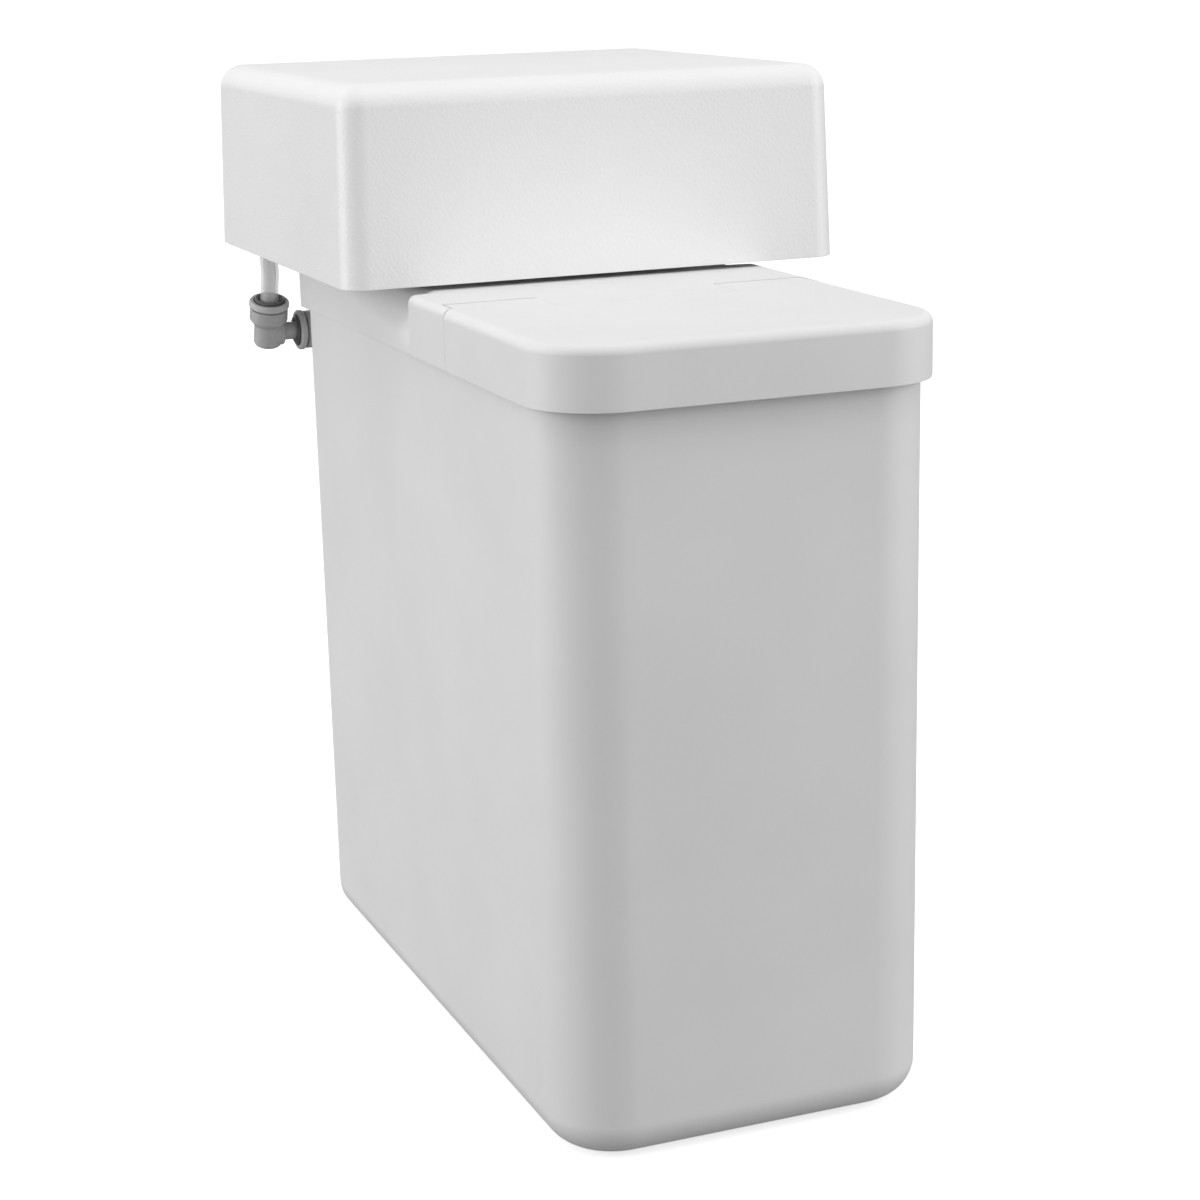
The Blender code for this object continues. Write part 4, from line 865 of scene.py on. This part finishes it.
def cover_rings():
    ceiling = cover_hi.z - COVER_WALL
    inner_lip = COVER_LIP - COVER_WALL
    inside = [
        cover_ring(inset, ceiling - inner_lip + rise, COVER_WALL)
        for inset, rise in reversed(quarter(inner_lip, 8))
    ]
    low_inside = [cover_ring(0.0, cover_lo.z, COVER_WALL)]
    foot = [cover_ring(inset, cover_lo.z + rise) for inset, rise in quarter(COVER_FOOT, 3, False)]
    outside = [cover_ring(inset, cover_hi.z - COVER_LIP + rise) for inset, rise in quarter(COVER_LIP, 16)]
    return inside + low_inside + foot + outside


cover = lofted("cover_shell", cover_rings())
dressed(cover, "cover", "grained_white_abs", "valve_cover")

# %% [markdown]
# ## Push-fit fittings
#
# A push-fit elbow is a stack of turned steps: a socket whose mouth holds a collet and a lock ring, a
# taper and a narrower nose with a rounded end. The joints give each fitting's axis, so the profile is
# turned about that line. A narrow gap under the lock ring shows as a dark line round the socket.

# %% Push-fit fittings
TUBE_RADIUS = 5.0 * MM
BODY_RADIUS = 10.7 * MM
NOSE_RADIUS = 8.0 * MM
LOCK_RADIUS = 11.3 * MM
RING_BORE = 9.0 * MM
COLLET_RADIUS = 8.3 * MM
COLLET_SLEEVE = 6.6 * MM
PUSH = 1.5 * MM
MOUTH = 3.0 * MM
GAP = 0.3 * MM
NOSE_ROUND = 3.0 * MM
HUB_LENGTH = 8.5 * MM
STEM_START = 4 * MM
STEM_ROOM = 20 * MM  # from the stem's end to the wall fitting's axis
SPIGOT_RADIUS = 6.8 * MM
SPIGOT_START = 2 * MM
SPIGOT_PAST_WALL = 15.5 * MM
FLANGE_RADIUS = 11.5 * MM
FLANGE_FROM_WALL = (4.1 * MM, 1.7 * MM)


def joint_axis(name):
    """The outward direction of a collet's joint: against its push."""
    return -Vector(joints[name]["axis"]).normalized()


def center_of(node):
    lo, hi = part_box(node)
    return (lo + hi) / 2


def socket_profile(face, tail):
    """A socket body from its rounded tail up to its face, then down the bore."""
    nose_round = [
        (NOSE_RADIUS - NOSE_ROUND * (1 - math.sin(a)), tail + NOSE_ROUND * (1 - math.cos(a)))
        for a in (math.pi / 2 * i / 8 for i in range(9))
    ]
    shoulder = [
        (NOSE_RADIUS, face - 15.2 * MM),
        (NOSE_RADIUS + 0.25 * MM, face - 14.6 * MM),
        (BODY_RADIUS - 0.4 * MM, face - 12.1 * MM),
        (BODY_RADIUS, face - 11.4 * MM),
        (BODY_RADIUS, face - 5.1 * MM),
        (BODY_RADIUS - 0.3 * MM, face - 4.8 * MM),
        (COLLET_RADIUS, face - 4.8 * MM),
        (COLLET_RADIUS, face - MOUTH - 0.3 * MM),
        (COLLET_RADIUS - 0.3 * MM, face - MOUTH),
    ]
    bore = [
        (COLLET_SLEEVE + 0.4 * MM, face - MOUTH),
        (COLLET_SLEEVE + 0.4 * MM, face - 11.6 * MM),
        (TUBE_RADIUS + GAP, face - 11.6 * MM),
        (TUBE_RADIUS + GAP, face - 14.5 * MM),
        (0, face - 14.5 * MM),
    ]
    return [(0, tail), *nose_round, *shoulder, *bore]


def ring_profile(bore, radius, low, high, edge):
    """A ring with softened outer edges."""
    return [
        (bore, low),
        (radius - edge, low),
        (radius, low + edge),
        (radius, high - edge),
        (radius - edge, high),
        (bore, high),
    ]


def collet_profile(face):
    """A sleeve with a flange that sits in the ring's mouth, with room below it for the push."""
    low = face - MOUTH + PUSH + GAP
    return [
        (TUBE_RADIUS + GAP, low - 8.5 * MM),
        (COLLET_SLEEVE, low - 8.5 * MM),
        (COLLET_SLEEVE, low),
        (COLLET_RADIUS - 0.3 * MM, low),
        (COLLET_RADIUS, low + 0.3 * MM),
        (COLLET_RADIUS, low + 1.6 * MM),
        (COLLET_RADIUS - 0.8 * MM, low + 2.4 * MM),
        (TUBE_RADIUS + 1.8 * MM, low + 2.4 * MM),
        (TUBE_RADIUS + GAP, low + 0.9 * MM),
    ]


level_axis = joint_axis("level_collet_push")
upright_axis = joint_axis("upright_collet_push")
level_center = Vector((0, *center_of("entry_lock_ring").yz))
upright_center = Vector((center_of("stem_lock_ring").x, *level_center.yz))
bulkhead_x = center_of("bulkhead_seal").x
level_center.x = bulkhead_x
BULKHEAD_STEP = bulkhead_x - upright_center.x
UPRIGHT_FACE = 20.2 * MM
UPRIGHT_TAIL = -8.0 * MM
LEVEL_FACE = BULKHEAD_STEP - 16.7 * MM
LEVEL_TAIL = -9.5 * MM
wall_step = level_center.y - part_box("brine_tank")[1].y
ALONG_X, INWARDS = Vector((1, 0, 0)), Vector((0, -1, 0))


def rod_profile(radius, low, high, edge):
    """A rod from low to high with a soft edge at its high end."""
    return [(0, low), (radius, low), (radius, high - edge), (radius - edge, high), (0, high)]


def socket_fittings(word, face, center, axis):
    """The lock ring and the collet in one socket's mouth."""
    profile = ring_profile(RING_BORE, LOCK_RADIUS, face - 4.0 * MM, face - GAP, 0.8 * MM)
    ring = lathed(f"{word}_ring", profile, center, axis, ring=True)
    dressed(ring, "base", "pale_grey_acetal", f"{word}_lock_ring")
    body = {"stem": "upright_collet", "entry": "level_collet"}[word]
    collet = lathed(f"{word}_release_collet", collet_profile(face), center, axis, ring=True)
    dressed(collet, body, "dark_grey_acetal", f"{word}_collet")


upright = lathed("upright_elbow", socket_profile(UPRIGHT_FACE, UPRIGHT_TAIL), upright_center, upright_axis)
hub = rod_profile(NOSE_RADIUS - 0.4 * MM, 0, HUB_LENGTH, 0.6 * MM)
stem = rod_profile(TUBE_RADIUS, STEM_START, BULKHEAD_STEP - STEM_ROOM, 0.5 * MM)
combined(
    upright,
    "UNION",
    lathed("hub", hub, upright_center, ALONG_X),
    lathed("stem", stem, upright_center, ALONG_X),
)
dressed(upright, "base", "grey_acetal", "stem_elbow")
socket_fittings("stem", UPRIGHT_FACE, upright_center, upright_axis)

entry = lathed("level_elbow", socket_profile(LEVEL_FACE, LEVEL_TAIL), level_center, level_axis)
spigot = rod_profile(SPIGOT_RADIUS, SPIGOT_START, wall_step + SPIGOT_PAST_WALL, 0.6 * MM)
flange_low, flange_high = (wall_step - gap for gap in FLANGE_FROM_WALL)
flange = ring_profile(0, FLANGE_RADIUS, flange_low, flange_high, 0.5 * MM)
combined(
    entry,
    "UNION",
    lathed("spigot", spigot, level_center, INWARDS),
    lathed("flange", flange, level_center, INWARDS),
)
dressed(entry, "base", "grey_acetal", "tank_elbow")
socket_fittings("entry", LEVEL_FACE, level_center, level_axis)

# %% [markdown]
# ## The brine tube
#
# The tube leaves the valve's rear socket, sweeps under the cover and drops into the upright fitting.
# It is a smooth curve through a few points, so Geometry Nodes sweep a circle along it. The wall is
# then given its real thickness, because light passing through two walls is what makes it look milky.

# %% The brine tube
TUBE_WALL = 1.5 * MM
TUBE_SIDES = 48
TUBE_STEP = 2 * MM
PORT_HEIGHT = 20.2 * MM
SOCKET_REACH = 16 * MM
FROM_SOCKET_MM = ((0, 6, 0), (0, 12, 0), (0, 19, 0), (-3, 31, 3), (-16, 44, 6))
ABOVE_ELBOW_MM = (52, 36, 26, 16, 7)
BEND_MM = (14, -3, 2)


def tube_tree(material):
    """Sweeps a circle along the source's edges, which become a smooth curve."""
    tree, inputs, output = new_tree("brine_tube", {"Radius": "Float", "Sides": "Int", "Step": "Float"})
    path = add_node(tree, "GeometryNodeMeshToCurve", {"Mesh": inputs["Geometry"]})
    smooth = add_node(
        tree,
        "GeometryNodeCurveSplineType",
        {"Curve": path.outputs["Curve"]},
        spline_type="CATMULL_ROM",
    )
    even = add_node(
        tree,
        "GeometryNodeResampleCurve",
        {"Curve": smooth.outputs["Curve"], "Length": inputs["Step"]},
        mode="LENGTH",
    )
    ring = add_node(
        tree,
        "GeometryNodeCurvePrimitiveCircle",
        {"Resolution": inputs["Sides"], "Radius": inputs["Radius"]},
    )
    swept = add_node(
        tree,
        "GeometryNodeCurveToMesh",
        {"Curve": even.outputs["Curve"], "Profile Curve": ring.outputs["Curve"]},
    )
    finished_by(tree, output, swept.outputs["Mesh"], material)
    return tree


def tube_route():
    """Points from the valve's rear socket, over and down into the upright fitting."""
    port_z = DECK_TOP + PORT_HEIGHT
    start = Vector((bulkhead_x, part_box("valve_body")[1].y - SOCKET_REACH, port_z))
    straight = [upright_center + height * MM * upright_axis for height in ABOVE_ELBOW_MM]
    bend = Vector((upright_center.x, straight[0].y, port_z)) + MM * Vector(BEND_MM)
    return [*[start + MM * Vector(offset) for offset in FROM_SOCKET_MM], bend, *straight]


route = tube_route()
path = bpy.data.meshes.new("tube_path")
path.from_pydata(route, [(i, i + 1) for i in range(len(route) - 1)], [])
values = {"Radius": TUBE_RADIUS, "Sides": TUBE_SIDES, "Step": TUBE_STEP}
tube = run_tree("brine_line", tube_tree(MATERIALS["natural_polyethylene_tube"]), values, path)
wall = tube.modifiers.new("wall", "SOLIDIFY")
wall.thickness = TUBE_WALL
wall.offset = -1.0
applied(tube)
dressed(tube, "base", "natural_polyethylene_tube", "brine_tube")

# %% [markdown]
# ## The pieces that the imported model already shapes
#
# Nuts, clamps, the valve, the gears and the other inner pieces keep the imported model's shapes. Each is
# copied and its flat faces are merged. The listed ones get the small edge radius that a mould or a cutter
# leaves, and each takes its material. The copy stands in for the imported piece, which itself is never changed.

# %% The pieces that the imported model already shapes
EDGE_MM = {
    "control_head": 1.2,
    "valve_body": 0.7,
    "gear_case": 0.6,
    "vessel_clamp_left": 0.6,
    "vessel_clamp_right": 0.6,
    "inlet_union": 0.5,
    "outlet_union": 0.5,
    "bulkhead_nut": 0.4,
    "overflow_nut": 0.4,
    "well_cap": 0.4,
    "brine_float": 0.8,
    "salt_platform": 0.5,
    "vessel_guard": 0.4,
}
MADE_AGAIN = {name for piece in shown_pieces() for name in piece.get("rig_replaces", ())}
SCREWS = [f"valve_screw_{i}" for i in (1, 2, 3, 4)]
SLOTS = {part["node"]: part["material_slot"] for part in frame["record"]["subparts"]}
BODIES = {node: body for body, members in frame["record"]["behaviour"]["bodies"].items() for node in members}


def merged_copy(node):
    """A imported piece's shape as its own mesh, with its flat faces merged."""
    bm = bmesh.new()
    bm.from_mesh(nodes[node].data)
    bmesh.ops.remove_doubles(bm, verts=bm.verts, dist=1e-6)
    bmesh.ops.dissolve_limit(bm, angle_limit=math.radians(0.4), verts=bm.verts, edges=bm.edges)
    for layer in list(bm.loops.layers.uv):
        bm.loops.layers.uv.remove(layer)
    obj = mesh_object(f"{node}_finished", bm)
    kept = ("position", ".edge_verts", ".corner_vert", ".corner_edge")
    for name in [item.name for item in obj.data.attributes if item.name not in kept]:
        obj.data.attributes.remove(obj.data.attributes[name])
    return obj


def eased(obj, width_mm):
    """Rounds the sharp edges by a mould's small radius."""
    bevel = obj.modifiers.new("edge", "BEVEL")
    bevel.width = width_mm * MM
    bevel.segments = 3
    bevel.limit_method = "ANGLE"
    bevel.angle_limit = math.radians(50)
    bevel.use_clamp_overlap = True
    return applied(obj)


for node in sorted(set(SLOTS) - MADE_AGAIN - set(SCREWS)):
    copy = merged_copy(node)
    if node in EDGE_MM:
        eased(copy, EDGE_MM[node])
    dressed(copy, BODIES[node], SLOTS[node], node)

# %% [markdown]
# ## Screws
#
# Four pan-head screws hold the valve. One screw is turned, given a cross recess, and Geometry Nodes
# set it on the four points, each turned by a different angle as an assembler leaves them.

# %% Screws
HEAD_RADIUS = 4.0 * MM
HEAD_HEIGHT = 2.8 * MM
SHANK_RADIUS = 2.0 * MM
THREAD_DEPTH = 0.35 * MM
THREAD_POINTS = 40
THREAD_END = 2 * MM
RECESS = Vector((4.4, 0.9, 3.0)) * MM
TURN_STEP = 1.1  # radians from one screw's recess to the next one's


def screw_pattern():
    """A pan head with a cross recess, its origin under the head."""
    lo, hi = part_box(SCREWS[0])
    length = hi.z - HEAD_HEIGHT - lo.z
    pitch = (length - 2 * THREAD_END) / THREAD_POINTS
    dome = [
        (HEAD_RADIUS * math.cos(a), 0.45 * HEAD_HEIGHT + 0.55 * HEAD_HEIGHT * math.sin(a))
        for a in (math.pi / 2 * i / 8 for i in range(9))
    ]
    thread = [
        (SHANK_RADIUS - THREAD_DEPTH * (i % 2), -length + THREAD_END + i * pitch)
        for i in range(THREAD_POINTS + 1)
    ]
    profile = [(0, -length), (0.3 * MM, -length), *thread, (SHANK_RADIUS, 0), (HEAD_RADIUS, 0), *dome]
    screw = lathed("screw_pattern", profile, Vector(), steps=32)
    head_top = Vector((0, 0, HEAD_HEIGHT))
    for size in (RECESS, RECESS.yxz):
        combined(screw, "DIFFERENCE", boxed("recess", head_top - size / 2, head_top + size / 2))
    return screw


def screw_tree(pattern, material):
    """Sets the pattern on every point of the source, each with its own turn."""
    tree, inputs, output = new_tree("valve_screws", {"Turn": "Float"})
    shape = add_node(tree, "GeometryNodeObjectInfo", {"Object": pattern})
    index = add_node(tree, "GeometryNodeInputIndex")
    angle = add_node(tree, "ShaderNodeMath", {0: index.outputs[0], 1: inputs["Turn"]}, operation="MULTIPLY")
    turn = add_node(tree, "ShaderNodeCombineXYZ", {"Z": angle.outputs[0]})
    placed = add_node(
        tree,
        "GeometryNodeInstanceOnPoints",
        {"Points": inputs["Geometry"], "Instance": shape.outputs["Geometry"], "Rotation": turn.outputs[0]},
    )
    finished_by(tree, output, placed.outputs["Instances"], material)
    return tree


pattern = screw_pattern()
seats = bpy.data.meshes.new("screw_seats")
seat_places = [(*center_of(name).xy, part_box(name)[1].z - HEAD_HEIGHT) for name in SCREWS]
seats.from_pydata(seat_places, [], [])
tree = screw_tree(pattern, MATERIALS["stainless_steel"])
screws = run_tree("valve_screws", tree, {"Turn": TURN_STEP}, seats)
bpy.data.objects.remove(pattern)
dressed(screws, "base", "stainless_steel", *SCREWS)

# %% [markdown]
# ## The studio
#
# The sweep is brighter than the object, so the softener stands on clean white. A pale dome gives even
# fill from above. A large soft box on each side keeps both visible faces close in tone, and one
# overhead lifts the top. The low left box also draws the bright line down the cover's near corner.
# The sweep carries light of its own, as a lit table does, and sends none of it back to the object.

# %% The studio
FLOOR_RADIUS = 60.0
FLOOR_TOP = -0.5 * MM
FLOOR_THICK = 2.0 * MM
FLOOR_GLOW = 0.55
DOME_LIGHT = 0.68
FLOOR_LIGHT = 0.22
HORIZON = 0.02
SOFT_BOXES = (  # place in metres, then watts
    ((-1.80, 0.50, 0.40), 16.8),
    ((1.73, -1.0, 0.60), 13.5),
    ((-0.15, -0.50, 1.9), 6.9),
)
SOFT_BOX_SIZE = (1.2, 1.4)
AIM = Vector((0, 0, 0.25))


def lit_sweep():
    material, tree, shader = new_material(
        "white_sweep", ior=1.45, Roughness=0.9, Emission_Strength=FLOOR_GLOW
    )
    cloud = between(tree, clouded(tree, 900.0), 0.0, 1.0)
    tree.links.new(two_tones(tree, cloud, "#F8F8F8", "#FAFAFA"), shader.inputs["Base Color"])
    shader.inputs["Emission Color"].default_value = (1, 1, 1, 1)
    return material


floor_low = FLOOR_TOP - FLOOR_THICK
disc = [(0, floor_low), (FLOOR_RADIUS, floor_low), (FLOOR_RADIUS, FLOOR_TOP), (0, FLOOR_TOP)]
floor = lathed("floor", disc, Vector(), steps=96)
floor.data.materials.append(lit_sweep())
floor.visible_diffuse = False
floor.visible_glossy = False

world = bpy.data.worlds.new("studio")
world.use_nodes = True
bpy.context.scene.world = world
sky = world.node_tree
direction = add_node(sky, "ShaderNodeTexCoord").outputs["Generated"]
height = add_node(sky, "ShaderNodeSeparateXYZ", {0: direction}).outputs["Z"]
level = add_node(
    sky,
    "ShaderNodeMapRange",
    {
        "Value": height,
        "From Min": -HORIZON,
        "From Max": HORIZON,
        "To Min": FLOOR_LIGHT,
        "To Max": DOME_LIGHT,
    },
)
sky.nodes["Background"].inputs["Color"].default_value = (1, 1, 1, 1)
sky.links.new(level.outputs["Result"], sky.nodes["Background"].inputs["Strength"])

for index, (place, watts) in enumerate(SOFT_BOXES):
    lamp = bpy.data.lights.new(f"soft_box_{index}", "AREA")
    lamp.shape = "RECTANGLE"
    lamp.size, lamp.size_y = SOFT_BOX_SIZE
    lamp.energy = watts
    box_light = bpy.data.objects.new(f"soft_box_{index}", lamp)
    box_light.location = place
    box_light.rotation_euler = (AIM - Vector(place)).to_track_quat("-Z", "Y").to_euler()
    box_light.visible_camera = False
    bpy.context.scene.collection.objects.link(box_light)
bpy.context.scene.view_settings.view_transform = "Standard"
print("sweep, dome and", len(SOFT_BOXES), "soft boxes")
